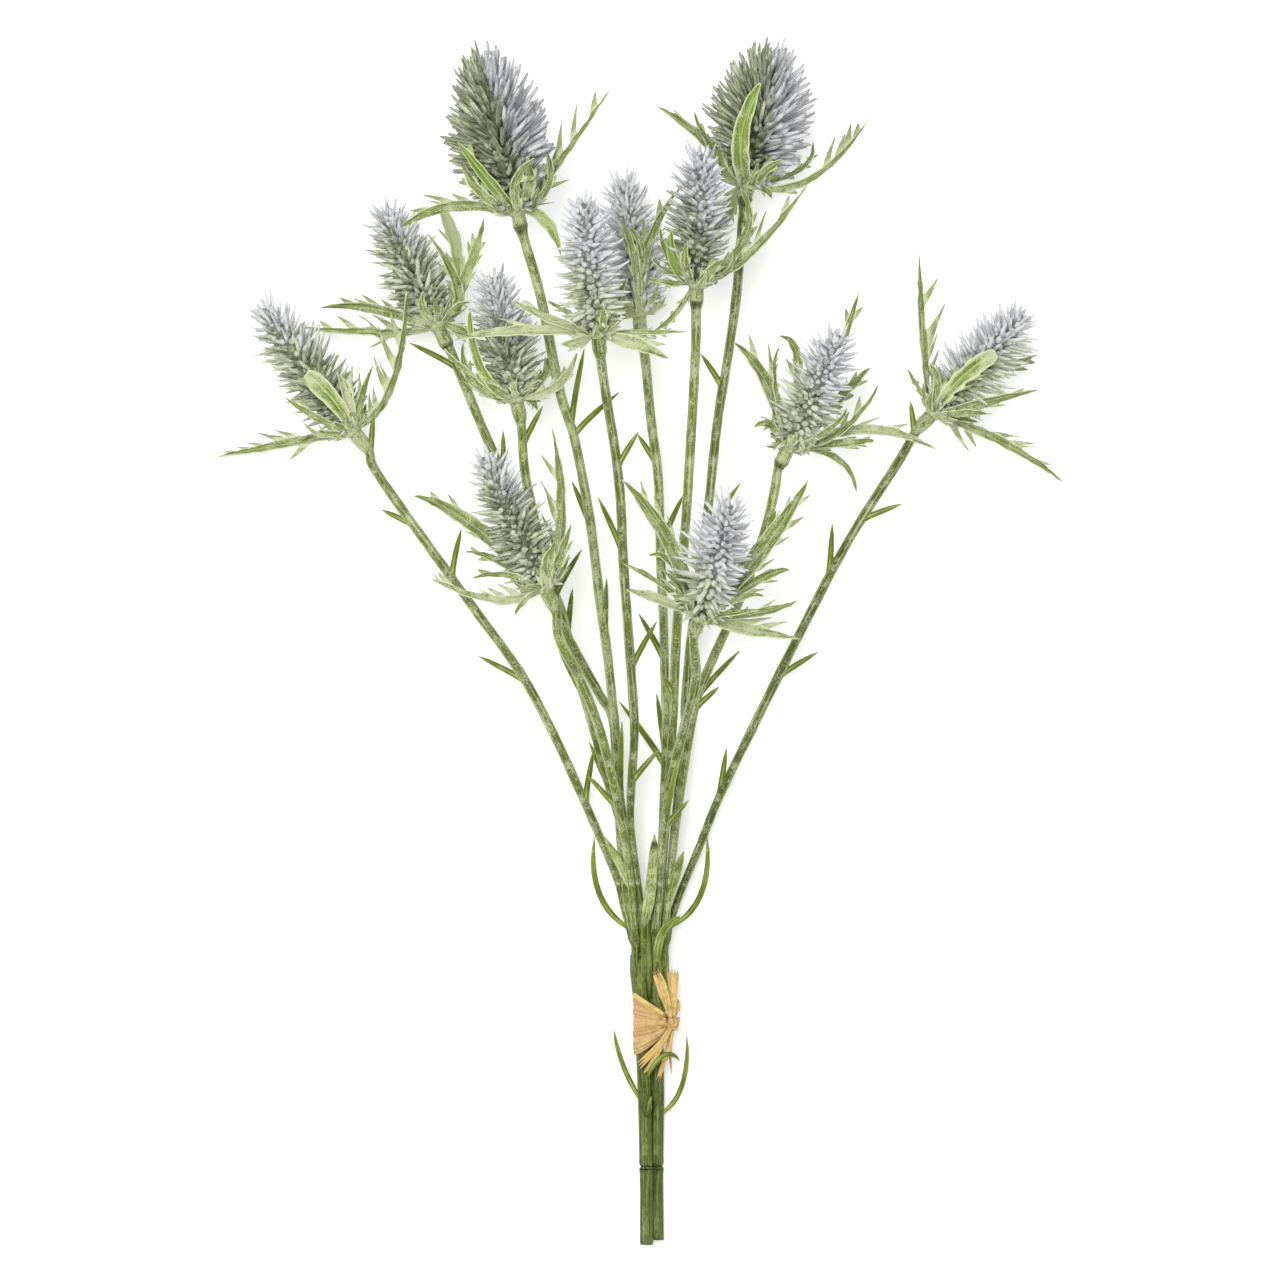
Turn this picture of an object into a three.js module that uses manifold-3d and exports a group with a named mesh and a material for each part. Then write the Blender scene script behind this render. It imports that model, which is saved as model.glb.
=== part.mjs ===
// A bunch of two sea holly sprays, tied with raffia and lying on a table.
// Millimetres. X runs across the bunch, +Y from the cut ends to the flower heads, +Z up.
// The origin is on the table, under the middle of the bunch.
import * as THREE from 'three';
import { mergeVertices } from 'three/addons/utils/BufferGeometryUtils.js';
import Module from 'manifold-3d';

const wasm = await Module();
wasm.setup();

// Driving dimensions.
const GAP = 0.3; // left between neighbouring pieces
const WELD = 1e-4; // vertices nearer than this are one
const MAIN_STEM_RADIUS = 2.35;
const MAIN_STEM_NECK_RADIUS = 2.1; // where a stem leaves its foot
const FORK_HALF_WIDTH = 3.1;
const FORK_HALF_HEIGHT = 4.5;
const BRANCH_BASE_RADIUS = 1.28;
const BRANCH_TOP_RADIUS = 1.65;
const SWELLING_RADIUS = 2.6; // the swollen neck under a collar
const SWELLING_LENGTH = 8;
const CUP_RADIUS = 4.1;
const BRACT_ROOT_RADIUS = 3.3; // how far from the head's axis a bract starts
const BRACT_CLEARANCE = 1.9; // from a bract's middle to the spines of its own head
const CUP_BELOW = 1.4; // depth of the cup under the point where the bracts meet
const CUP_ABOVE = 1.1;
const BRACT_THICKNESS = 1.0;
const BRACT_TIP_THICKNESS = 0.4; // against the thickness at its base
const BRACT_BODY = 0.62; // share of a bract's width that lies between its teeth
const LEAF_WIDTH = 2.4;
const LEAF_THICKNESS = 1.3;
const LEAF_PULL = 0.12; // how long a needle leaf follows its stem before it bends away
const WRAP_THICKNESS = 0.7;
const TAIL_THICKNESS = 0.5;
const KNOT_RADIUS = 2.1;

const STEM_SIDES = 6;
const MAIN_STEM_SIDES = 12;
const HEAD_SIDES = 8;
const CUP_SIDES = 6;
const HEAD_WHORLS = 7;
const BLADE_SHARES = [0, 0.2, 0.55, 1]; // where a bract has a section, from base to tip
const LEAF_STEPS = 2;
const HALVINGS = 30; // when a height is looked up on a curve

// Width along a bract and along a needle leaf, from base to tip, as a share of the full width.
const BRACT_WIDTHS = [[0, 0.45], [0.25, 0.85], [0.5, 1], [0.75, 0.65], [1, 0.12]];
const LEAF_WIDTHS = [[0, 0.8], [0.35, 1], [0.75, 0.8], [1, 0.15]];

// Radius of a flower head at each share of its length.
const SMALL_HEAD = [
  [0, 3], [0.05, 5.2], [0.15, 7.6], [0.3, 9.2], [0.55, 8.8], [0.8, 7], [0.93, 4.8], [1, 1.5],
];
const BIG_HEAD = [
  [0, 3.4], [0.08, 8.4], [0.2, 13.5], [0.4, 16], [0.6, 14.6], [0.8, 10.5], [0.93, 6.5], [1, 2],
];
const WHORL_ROOT = 0.62; // radius between two whorls of spines, as a share of the radius at their tips
const WHORL_ROOT_AT = 0.45; // where the narrow and the wide part of a whorl lie along it
const WHORL_RIM_AT = 0.8;

// Radius of a branch's stem at each share of its length, up to the swelling.
const BRANCH_RADII = [[0, BRANCH_BASE_RADIUS], [0.15, BRANCH_BASE_RADIUS], [0.5, BRANCH_TOP_RADIUS]];

// Half width and half height of a main stem at each share of its length, from foot to fork.
const MAIN_STEM_WIDTHS = [
  [0, MAIN_STEM_NECK_RADIUS], [0.15, MAIN_STEM_RADIUS], [0.8, MAIN_STEM_RADIUS], [1, FORK_HALF_WIDTH],
];
const MAIN_STEM_HEIGHTS = [...MAIN_STEM_WIDTHS.slice(0, 3), [1, FORK_HALF_HEIGHT]];
const MAIN_STEM_STEP = 10;

// The twelve branches, 1 to 6 on the left spray and 7 to 12 on the right one.
// base and tip: where the bracts meet and where the flower head ends.
// stem: the route from the fork to the collar.
// leaves: the height Y where a needle leaf leaves the stem, then its tip. One that bows out also has
//   its middle.
// bracts: the middle of each bract, its tip, and its full width across the teeth.
const BRANCHES = [
  {
    base: [-103.5, 76.5, 24], tip: [-138.5, 123.5, 20], profile: SMALL_HEAD,
    stem: [[-1.5, -110.5, 4.1], [-5, -99.5, 4], [-8.5, -85.5, 4.8], [-14.5, -71, 6], [-19, -60.5, 7],
      [-30.5, -35, 9.5], [-43, -11.5, 12], [-61, 13.5, 15], [-80.5, 40.5, 18], [-95.5, 62, 21.5]],
    leaves: [[66.5, -96, 82.5, 27], [41.5, -93.5, 48, 14], [22.5, -64.5, 41, 21], [-15, -58.5, -5, 8],
      [-59.5, -16.5, -38, 12], [-104, -16.5, -70.5, 13, -14.8, -91, 9]],
    bracts: [
      [-128, 70.5, 14, -153.5, 67.5, 0.5, 5], [-114.5, 75, 26, -121, 79, 27, 3.2],
      [-117, 81.5, 32, -128, 88.5, 33, 3.6], [-111, 88, 35, -120, 96.5, 38, 6.8],
      [-105.5, 88.5, 30, -109, 97.5, 32, 5], [-101, 87.5, 26, -96, 100.5, 28, 4],
      [-89.5, 94, 26, -84, 126.5, 33, 5], [-116, 86.5, 10, -125.5, 93, 5, 5],
    ],
  },
  {
    base: [-73, 114.5, 22], tip: [-94.5, 159.5, 14], profile: SMALL_HEAD,
    stem: [[1.5, -110.5, 4.1], [-0.5, -98, 4.3], [-5, -74.5, 5], [-11, -53, 6.5], [-14.5, -40.5, 8],
      [-20, -20.5, 9.5], [-26, 1, 11], [-30, 15.5, 12], [-41.5, 42.5, 15], [-55, 73, 18], [-68.5, 105.5, 21]],
    leaves: [[98, -83, 108, 24], [58.5, -49.5, 76.5, 14], [1, -24.5, 19.5, 8], [-22, -30, -1.5, 7],
      [-55, -18.5, -36, 4]],
    bracts: [
      [-96.5, 121, 21, -116, 121, 17, 4.7], [-101, 112, 15, -122, 114.5, 0.5, 4.7],
      [-85, 122.5, 12, -89.5, 137, 4, 4.3], [-78, 120.5, 31, -78, 126.5, 33, 3.2],
      [-66, 127, 26, -76.5, 147.5, 25, 5.4], [-66.5, 135.5, 17, -72.5, 157, 13, 5.8],
      [-61.5, 137, 22, -56.5, 153, 18, 5.4], [-66, 121, 30, -61, 122.5, 30, 3.2],
      [-65, 112.5, 23, -58, 110, 20, 4],
    ],
  },
  {
    base: [-44, 154.5, 43], tip: [-56.5, 214.5, 45], profile: BIG_HEAD,
    stem: [[1.5, -110.5, 7], [-0.6, -96.5, 8.8], [-3.5, -78.5, 10.6], [-7, -56.5, 14.5], [-8.5, -35, 18],
      [-10, -20.5, 20.5], [-12, -2.5, 23.5], [-14.5, 15.5, 26], [-18, 44, 30], [-23.5, 73, 34],
      [-29, 91, 36], [-35.5, 123.5, 40]],
    leaves: [[73.5, -7.5, 90, 32], [76.5, -20, 105.5, 38], [40.5, -24.5, 58, 27], [1, -12, 23, 30],
      [-56.5, -6.5, -28.5, 30]],
    bracts: [
      [-67.5, 153.5, 46, -89, 149, 46, 5.4], [-55.5, 167, 58, -65, 178.5, 63, 5.4],
      [-57.5, 162, 51, -64, 172.5, 52, 4.7], [-44.5, 164.5, 57, -37.5, 172.5, 62, 4.7],
      [-39.5, 164, 50, -40.5, 173.5, 51, 4.7], [-33, 164.5, 45, -34.5, 178, 47, 4],
      [-27.5, 173.5, 41, -11, 198, 41, 4.7], [-33, 150.5, 39, -28.5, 139, 34, 5.4],
      [-51, 166.5, 27, -54.5, 180, 22, 5.8],
    ],
  },
  {
    base: [-15, 110.5, 52], tip: [-20.5, 160, 64], profile: SMALL_HEAD,
    stem: [[1.5, -110.5, 9.9], [0.5, -98, 11.2], [-2, -78.5, 14.4], [-3.5, -64, 17], [-3, -49.5, 19.5],
      [-2, -31.5, 23], [-3, -13.5, 27], [-4.5, 8, 31.5], [-6, 29.5, 36], [-7, 51.5, 40], [-9, 69.5, 43.5],
      [-12, 87.5, 47.5]],
    leaves: [[62, -0.5, 75.5, 47], [31, -15, 52, 42], [-10.5, 6, 7.5, 25], [-51.5, 7, -38.5, 26],
      [-94.5, 5.5, -69.5, 13]],
    bracts: [
      [-33, 115.5, 53, -45.5, 122, 52, 5.4], [-25, 117, 48, -33.5, 122.5, 48, 3.2],
      [-44.5, 111, 54, -66.5, 108, 51, 6.1], [-22, 107.5, 58, -28.5, 106.5, 57, 5.4],
      [-2.5, 107, 54, 10.5, 101.5, 52, 6.8], [3.5, 110.5, 55, 16.5, 111, 56, 2.9],
      [-13, 114.5, 62, -13.5, 120.5, 64, 3.6], [-10, 119, 44, -4.5, 130.5, 44, 5],
    ],
  },
  {
    base: [-44.5, 87.5, 36], tip: [-54, 135, 30], profile: SMALL_HEAD,
    stem: [[-1.5, -110.5, 7], [-4.2, -96.5, 7], [-7, -74.5, 8.6], [-8.5, -49.5, 10.5], [-10, -28, 12],
      [-14.5, -19, 13.5], [-21.5, -6.5, 16.5], [-27, 4.5, 19], [-32.5, 22.5, 23], [-38, 44, 27.5],
      [-41.5, 62, 31]],
    leaves: [[70, -35, 85, 31], [15.5, -21, 33.5, 26]],
    bracts: [
      [-57, 99, 43, -61, 119.5, 41, 4.7], [-60, 94.5, 36, -63.5, 108, 32, 5.4],
      [-63.5, 99, 39, -70, 105.5, 40, 2.5], [-51, 90.5, 44, -55, 93.5, 45, 4.3],
      [-30, 92.5, 40.5, -22.5, 104, 42, 4.7], [-34, 96.5, 29, -32, 109.5, 27, 4.3],
      [-38.5, 86.5, 34.5, -37, 83.5, 33, 3.2], [-47.5, 101.5, 24, -50.5, 112.5, 22, 5],
    ],
  },
  {
    base: [-34, 19.5, 54], tip: [-57.5, 69.5, 57], profile: SMALL_HEAD,
    stem: [[-1.5, -110.5, 9.9], [-2.5, -94.5, 12.8], [-5, -74.5, 17.5], [-9, -53, 25], [-14.5, -31.5, 33],
      [-21.5, -13.5, 40.5], [-29, 1, 47]],
    leaves: [[-62, -19, -48, 18], [-89, -13, -70.5, 8]],
    bracts: [
      [-61, 42.5, 42, -81.5, 52.5, 40, 7.6], [-51, 29, 47, -62.5, 32.5, 46, 4],
      [-47.5, 24.5, 57, -60, 23, 56, 4], [-54.5, 15.5, 55, -75, 23, 50, 5.4],
      [-41.5, 15, 58, -44.5, 9.5, 57, 3.2], [-29, 30, 62, -24.5, 42.5, 65, 4.7],
      [-28.5, 25.5, 57, -25.5, 30.5, 57, 4], [-27.5, 46.5, 50, -31.5, 77, 48, 6.1],
      [-33, 28.5, 63, -30, 36, 66, 5.8],
    ],
  },
  {
    base: [-0.5, 119, 20], tip: [-6.5, 171, 13], profile: SMALL_HEAD,
    stem: [[5.75, -110.5, 4.1], [6.5, -96.5, 4.3], [7.5, -78.5, 4.8], [8.5, -56.5, 5.8], [9.5, -31.5, 7.4],
      [9, -13.5, 8.4], [8.5, 8, 10], [7.5, 29.5, 11.5], [7, 51.5, 13], [6, 65.5, 14.5], [4, 80, 16],
      [2, 101.5, 18.5]],
    leaves: [[63.5, -1, 75.5, 12], [33.5, 16, 54, 14], [-7.5, -0.5, 10.5, 8], [-46, -7.5, -21.5, 5],
      [-42.5, 6, -18.5, 5]],
    bracts: [
      [-5, 138.5, 10, -10.5, 154.5, 2, 6.8], [-2, 138.5, 26, -7, 153, 29, 4.7],
      [3, 144, 22, 16, 166, 25, 5.4], [0.5, 140.5, 29, -4, 149, 32, 4], [-5, 122, 22, -9, 119.5, 21, 4],
      [3, 132.5, 11, 6.5, 145, 2, 4.7],
    ],
  },
  {
    base: [20.5, 128.5, 40], tip: [22.5, 178.5, 49], profile: SMALL_HEAD,
    stem: [[5.75, -110.5, 7], [7, -96.5, 8], [8.5, -78.5, 10], [10, -56.5, 12.6], [12, -28, 16],
      [12.5, -13.5, 18], [13.5, 8, 20.5], [16, 37, 25], [18.5, 76.5, 31.5], [20, 105.5, 36.5]],
    leaves: [[-20.5, 8.5, -12, 22]],
    bracts: [
      [10, 138.5, 38, 7, 149, 38, 4], [12.5, 138.5, 45, 12, 148.5, 45, 6.1], [8.5, 129, 41, 2, 131, 40, 3.2],
      [8.5, 133.5, 42, 4, 138.5, 42, 2.5], [16, 135.5, 50, 17, 143.5, 53, 4],
      [25, 133, 49, 30, 137.5, 51, 4.7],
      [40.5, 140, 40, 60, 164, 42, 5.4], [38.5, 146.5, 34, 36, 163.5, 32, 4.7],
      [32, 134.5, 44, 33, 141.5, 45, 3.2], [12.5, 118, 35, 3.5, 111, 31, 2.5],
    ],
  },
  {
    base: [39, 165, 25], tip: [48.5, 217.5, 25], profile: BIG_HEAD,
    stem: [[8.75, -110.5, 7], [9.5, -94.5, 7.2], [11.5, -78.5, 7.8], [13.5, -56.5, 9.4], [16, -35, 11.5],
      [16.5, -20.5, 13], [18.5, 1, 15], [24.5, 47.5, 18], [28, 80, 20], [31.5, 101.5, 21.5], [35, 127, 23]],
    leaves: [[37, 36.5, 58, 14], [91, 22, 104, 24], [-55, 16, -40, 14]],
    bracts: [
      [22.5, 181.5, 18, 6, 194, 16, 6.1], [24.5, 180, 24, 19.5, 191.5, 24, 3.6],
      [31, 169.5, 32, 28.5, 180, 30, 4.7], [36.5, 184, 41, 42.5, 202, 47, 6.1],
      [44.5, 169.5, 35, 51, 173.5, 38, 4.7], [62, 168, 26, 82.5, 189, 27, 4.7],
      [58.5, 171, 19, 62.5, 181.5, 17, 3.2], [32.5, 157.5, 19, 29, 145.5, 16, 5.4],
      [45, 163.5, 26, 47.5, 160, 25, 3.2], [48.5, 177.5, 8, 54, 190, 0.5, 5.4],
    ],
  },
  {
    base: [21.5, 9.5, 52], tip: [33.5, 51.5, 76], profile: SMALL_HEAD,
    stem: [[5.75, -110.5, 9.9], [6.5, -96.5, 12.5], [7.5, -82, 16], [9, -64, 22], [12, -46, 29],
      [16.5, -28, 37], [20, -13.5, 43.5]],
    leaves: [[-68, 17.5, -57, 24], [-69, 13.7, -41.2, 35]],
    bracts: [
      [9, 37, 59, -6.5, 58, 64, 7.9], [11.5, 27.5, 58, 3, 31, 61, 4.3], [6, 21.5, 54, -6, 28, 56, 3.2],
      [5.5, 15.5, 51, -5, 19, 49, 5], [14.5, 18.5, 62, 8.5, 25.5, 66, 4], [44.5, 33.5, 59, 60, 58, 64, 9.4],
      [42.5, 22, 56, 53.5, 26, 59, 5], [37, 16, 58, 44, 16.5, 60, 3.2], [34.5, 10.5, 59, 42, 11.5, 60, 3.2],
      [43, 10.5, 52, 56.5, 15, 52, 4.7], [37.5, 4.5, 49, 57, 1.5, 46, 6.1],
    ],
  },
  {
    base: [53.5, 70.5, 36], tip: [73, 113, 50], profile: SMALL_HEAD,
    stem: [[8.75, -110.5, 9.9], [10, -94.5, 11.6], [12.5, -71, 14.6], [16, -46, 18.4], [20, -22.5, 22.5],
      [26, -6.5, 25], [36, 15.5, 28], [44, 37, 31], [48.5, 55, 33.6]],
    leaves: [[37, 49, 47.5, 35], [-20.5, 36, -3, 20], [-25, 28.5, -16, 27], [-94.5, 16, -76, 16]],
    bracts: [
      [45.5, 92.5, 36, 33.5, 108, 37, 7.2], [48, 95, 42, 50, 105.5, 44, 2.5],
      [47, 78.5, 41, 40.5, 77, 41, 4.7], [49, 70.5, 39, 45, 70.5, 39, 2.5],
      [57, 100, 27, 50, 110.5, 26, 5], [68.5, 97.5, 27, 79, 127, 30, 5.4],
      [72.5, 88.5, 30, 83, 99, 30, 4.7], [73, 76, 41, 85.5, 92.5, 44, 3.6],
      [81.5, 76, 36, 106.5, 69.5, 33, 5.8],
      [76, 71.5, 37, 84, 72.5, 37, 4], [71.5, 65.5, 32, 78, 54, 27, 3.2], [68, 77, 46, 74, 84, 49, 3.2],
    ],
  },
  {
    base: [106, 83, 22], tip: [140.5, 120.5, 26], profile: SMALL_HEAD,
    stem: [[8.75, -110.5, 4.1], [11, -101.5, 4.4], [15, -90, 5], [22, -73, 6.5], [29, -55.5, 8],
      [45, -22.5, 11], [59.5, 6.5, 14], [75.5, 37, 17], [93.5, 65.5, 19.6]],
    leaves: [[74.5, 97.5, 87, 24], [43.5, 94.5, 50, 21], [22.5, 69.5, 43, 19], [-13.5, 64.5, -3.5, 8],
      [-57.5, 31.3, -38.3, 11], [-103.5, 24.3, -70.5, 10, 22, -91.5, 8]],
    bracts: [
      [101.5, 112.5, 21, 101, 140.5, 18, 4.7], [100.5, 92, 24, 96, 99, 25, 2.5],
      [107.5, 94, 28, 103.5, 101, 30, 4], [116, 95.5, 34, 128, 104, 37, 6.1],
      [124.5, 87, 29, 143.5, 91, 28, 5.4], [125.5, 95.5, 10, 144.5, 104.5, 2, 5.4],
      [132, 71.5, 12, 153.5, 58.5, 0.5, 5.4], [117.5, 83, 31, 127, 82, 31, 3.2],
      [116.5, 80.5, 22, 122.5, 79.5, 20, 3.2],
    ],
  },
];

// The two main stems, from the cut end to the fork. Each leaf has the height where it leaves the
// stem, its middle and its tip.
const MAIN_STEMS = [
  {
    name: 'left', fork: [0, -111, 7], foot: -190,
    route: [[2.4, -218.5, 5.7], [2.2, -190, 5.9], [1.7, -165, 6.4], [1.1, -148, 6.5], [0.7, -130, 6.7],
      [0.1, -119, 7]],
    leaves: [
      { from: -168, middle: [-5.5, -155, 7], tip: [-9.5, -140.5, 7.5] },
      { from: -159.5, middle: [8.3, -149.5, 15.8], tip: [14.5, -151.5, 11.5] },
    ],
  },
  {
    name: 'right', fork: [7.25, -111, 7], foot: -190,
    route: [[6.3, -217, 2.35], [6.1, -190, 2.7], [6.3, -165, 4.4], [6.1, -148, 6.1], [6.2, -130, 6.8],
      [7, -119, 7]],
    leaves: [
      { from: -172, middle: [15, -161.5, 5], tip: [17, -142.5, 6] },
      { from: -120, middle: [7.5, -106.5, 17], tip: [14.5, -99, 18] },
    ],
  },
];

// The raffia is wound round both stems, gathers to the right and is knotted there.
const WRAP_FROM = -148.8;
const WRAP_TO = -125.5;
const WRAP_CENTRES = [[3.6, WRAP_FROM, 6.3], [3.45, WRAP_TO, 6.8]];
const WRAP_HALF_WIDTH = 5.75; // inside, at its upper edge
const WRAP_HALF_HEIGHT = 3;
const WRAP_NARROWING = 0.92; // lower edge against upper edge
const WRAP_ARC_STEPS = 6;
const WRAP_CUT_HEIGHT = 20; // more than the stack of stems
const WRAP_OUTLINE = [[-6, WRAP_FROM], [12, -142], [12, -135], [-6, WRAP_TO]]; // seen from above
const KNOT_PLACE = [12.4, -137.7, 8];
const KNOT_DETAIL = 1;
const LOOP_PLACE = [13.7, -131.4, 7.6];
const LOOP_RADIUS = 1.9;
const LOOP_THICKNESS = 0.45; // radius of the strand
const LOOP_SIDES = 6;
const LOOP_STEPS = 14;
const TAILS = [
  { name: 'upper_left', width: 2.4, route: [[10.6, -135, 11], [8.6, -128.5, 12], [6, -119.5, 12.6]] },
  { name: 'upper_right', width: 3.2, route: [[12.4, -134.6, 10], [11.6, -127, 10.8], [12, -118, 11]] },
  { name: 'lower_left', width: 3.4, route: [[9.8, -140.3, 10.8], [5.5, -147, 11.2], [0.8, -154.5, 10.2]] },
  { name: 'lower_middle', width: 1.8, route: [[11.6, -141, 9.6], [9.4, -149, 9.8], [6, -158, 9.4]] },
  { name: 'lower_right', width: 1.1, route: [[12.8, -140.8, 7.6], [12.6, -148, 7.6], [11.4, -156.5, 7.4]] },
];
const TAIL_STEPS = 5;

// The four finishes.
const STEM_GREEN = { color: 0x6d7f3c, roughness: 0.7, metalness: 0 };
const BRACT_SAGE = { color: 0x93a772, roughness: 0.75, metalness: 0 };
const HEAD_LAVENDER = { color: 0x9aa59c, roughness: 0.8, metalness: 0 };
const RAFFIA_STRAW = { color: 0xd9b277, roughness: 0.85, metalness: 0 };

const bunch = new THREE.Group();
bunch.name = 'sea_holly_bunch';

const vector = ([x, y, z]) => new THREE.Vector3(x, y, z);

/** The value at t on a list of [t, value] pairs, straight between them. */
function between(pairs, t) {
  const next = Math.max(1, pairs.findIndex(([at]) => at >= t));
  const [t0, v0] = pairs[next - 1];
  const [t1, v1] = pairs[next];
  return THREE.MathUtils.lerp(v0, v1, THREE.MathUtils.clamp((t - t0) / (t1 - t0), 0, 1));
}

/** A closed geometry as a solid. Its poles lose the triangles that have no area. */
function solidOf(geometry) {
  const bare = new THREE.BufferGeometry();
  bare.setAttribute('position', geometry.attributes.position);
  bare.setIndex(geometry.index);
  const merged = mergeVertices(bare, WELD);
  const corners = merged.index.array;
  const triVerts = [];
  for (let i = 0; i < corners.length; i += 3) {
    const [a, b, c] = corners.subarray(i, i + 3);
    if (a !== b && b !== c && c !== a) triVerts.push(a, b, c);
  }
  const vertProperties = merged.attributes.position.array;
  const mesh = new wasm.Mesh({ numProp: 3, vertProperties, triVerts: Uint32Array.from(triVerts) });
  return new wasm.Manifold(mesh);
}

/** A solid as a geometry with flat faces. */
function geometryOf(solid) {
  const { vertProperties, triVerts } = solid.getMesh();
  const geometry = new THREE.BufferGeometry();
  geometry.setAttribute('position', new THREE.BufferAttribute(vertProperties, 3));
  geometry.setIndex(new THREE.BufferAttribute(triVerts, 1));
  geometry.computeVertexNormals();
  return geometry;
}

/** Add one named piece to the bunch. */
function addPiece(name, solid, finish) {
  const mesh = new THREE.Mesh(geometryOf(solid), new THREE.MeshStandardMaterial(finish));
  mesh.name = name;
  bunch.add(mesh);
}

/** Carry an outline along stations { point, up, width, height }, closed at both ends. */
function sweep(outline, stations, curveSegments = 1) {
  const steps = stations.length - 1;
  const options = { depth: steps, steps, curveSegments, bevelEnabled: false };
  const geometry = new THREE.ExtrudeGeometry(outline, options);
  const position = geometry.attributes.position;
  const frames = stations.map((station, i) => {
    const before = stations[Math.max(i - 1, 0)].point;
    const after = stations[Math.min(i + 1, steps)].point;
    const along = after.clone().sub(before).normalize();
    const side = station.up.clone().cross(along).normalize();
    return { side, up: along.clone().cross(side) };
  });
  for (let i = 0; i < position.count; i += 1) {
    const k = Math.round(position.getZ(i));
    const place = stations[k].point.clone();
    place.addScaledVector(frames[k].side, position.getX(i) * stations[k].width);
    place.addScaledVector(frames[k].up, position.getY(i) * stations[k].height);
    position.setXYZ(i, place.x, place.y, Math.max(place.z, 0));
  }
  return solidOf(geometry);
}

/** A regular polygon that touches the unit circle from inside. */
function polygon(sides) {
  const corners = [];
  for (let i = 0; i < sides; i += 1) {
    const turn = (2 * Math.PI * (i + 0.5)) / sides;
    corners.push(new THREE.Vector2(Math.cos(turn), Math.sin(turn)));
  }
  return new THREE.Shape(corners);
}

const outlineOf = (corners) => new THREE.Shape(corners.map(([x, y]) => new THREE.Vector2(x, y)));
const DIAMOND = outlineOf([[-1, 0], [0, -1], [1, 0], [0, 1]]);
const STRIP = outlineOf([[-1, -1], [1, -1], [1, 1], [-1, 1]]);
const UP = new THREE.Vector3(0, 0, 1);

/** The smooth curve through a list of places. */
const curveThrough = (places) => new THREE.CatmullRomCurve3(places, false, 'catmullrom', 0.5);

/** The place and the direction of a stem at height y. */
function onCurve(curve, y) {
  let low = 0;
  let high = 1;
  for (let i = 0; i < HALVINGS; i += 1) {
    const t = (low + high) / 2;
    if (curve.getPoint(t).y < y) low = t;
    else high = t;
  }
  return { point: curve.getPoint(low), along: curve.getTangent(low) };
}

/** The bend that leaves start, is at middle halfway, and ends at end. */
function bend(start, middle, end) {
  const pull = middle.clone().multiplyScalar(2).addScaledVector(start, -0.5).addScaledVector(end, -0.5);
  return new THREE.QuadraticBezierCurve3(start, pull, end);
}

/** A needle leaf along a curve from base to tip. */
function needleLeaf(route, steps) {
  const stations = [];
  for (let i = 0; i <= steps; i += 1) {
    const t = i / steps;
    const share = between(LEAF_WIDTHS, t);
    const width = (LEAF_WIDTH / 2) * share;
    stations.push({ point: route.getPoint(t), up: UP, width, height: (LEAF_THICKNESS / 2) * share });
  }
  return sweep(DIAMOND, stations);
}

/** The route of a leaf that leaves a branch along the branch, at height y. */
function leafRoute(curve, [y, tx, ty, tz, ...middle]) {
  const tip = new THREE.Vector3(tx, ty, tz);
  const { point, along } = onCurve(curve, y);
  if (middle.length) return bend(point, vector(middle), tip);
  const pull = point.clone().addScaledVector(along, LEAF_PULL * tip.distanceTo(point));
  return new THREE.QuadraticBezierCurve3(point, pull, tip);
}

/** A branch's own axis: where its bracts meet, which way its head points, and how long the head is. */
function headFrame({ base, tip }) {
  const centre = vector(base);
  const axis = vector(tip).sub(centre);
  const length = axis.length() - CUP_ABOVE - GAP;
  return { centre, axis: axis.normalize(), length };
}

/** The branch's stem: a thin round stem with a swollen neck, and its needle leaves. */
function branchStem(branch) {
  const { centre, axis } = headFrame(branch);
  const end = centre.clone().addScaledVector(axis, -CUP_BELOW - 2 * GAP);
  const neck = end.clone().addScaledVector(axis, -SWELLING_LENGTH);
  const curve = curveThrough([...branch.stem.map(vector), neck, end]);
  const length = curve.getLength();
  const steps = branch.stem.length;
  const swellingStart = 1 - SWELLING_LENGTH / length;
  const swollen = 1 - SWELLING_LENGTH / length / 2;
  const radii = [...BRANCH_RADII,
    [swellingStart, BRANCH_TOP_RADIUS], [swollen, SWELLING_RADIUS], [1, SWELLING_RADIUS]];
  const shares = [...Array(steps).keys()].map((i) => (i / steps) * swellingStart);
  const stations = [...shares, swellingStart, swollen, 1].map((t) => {
    const radius = between(radii, t);
    return { point: curve.getPointAt(t), up: UP, width: radius, height: radius };
  });
  let solid = sweep(polygon(STEM_SIDES), stations);
  for (const leaf of branch.leaves) solid = solid.add(needleLeaf(leafRoute(curve, leaf), LEAF_STEPS));
  return solid;
}

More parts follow.
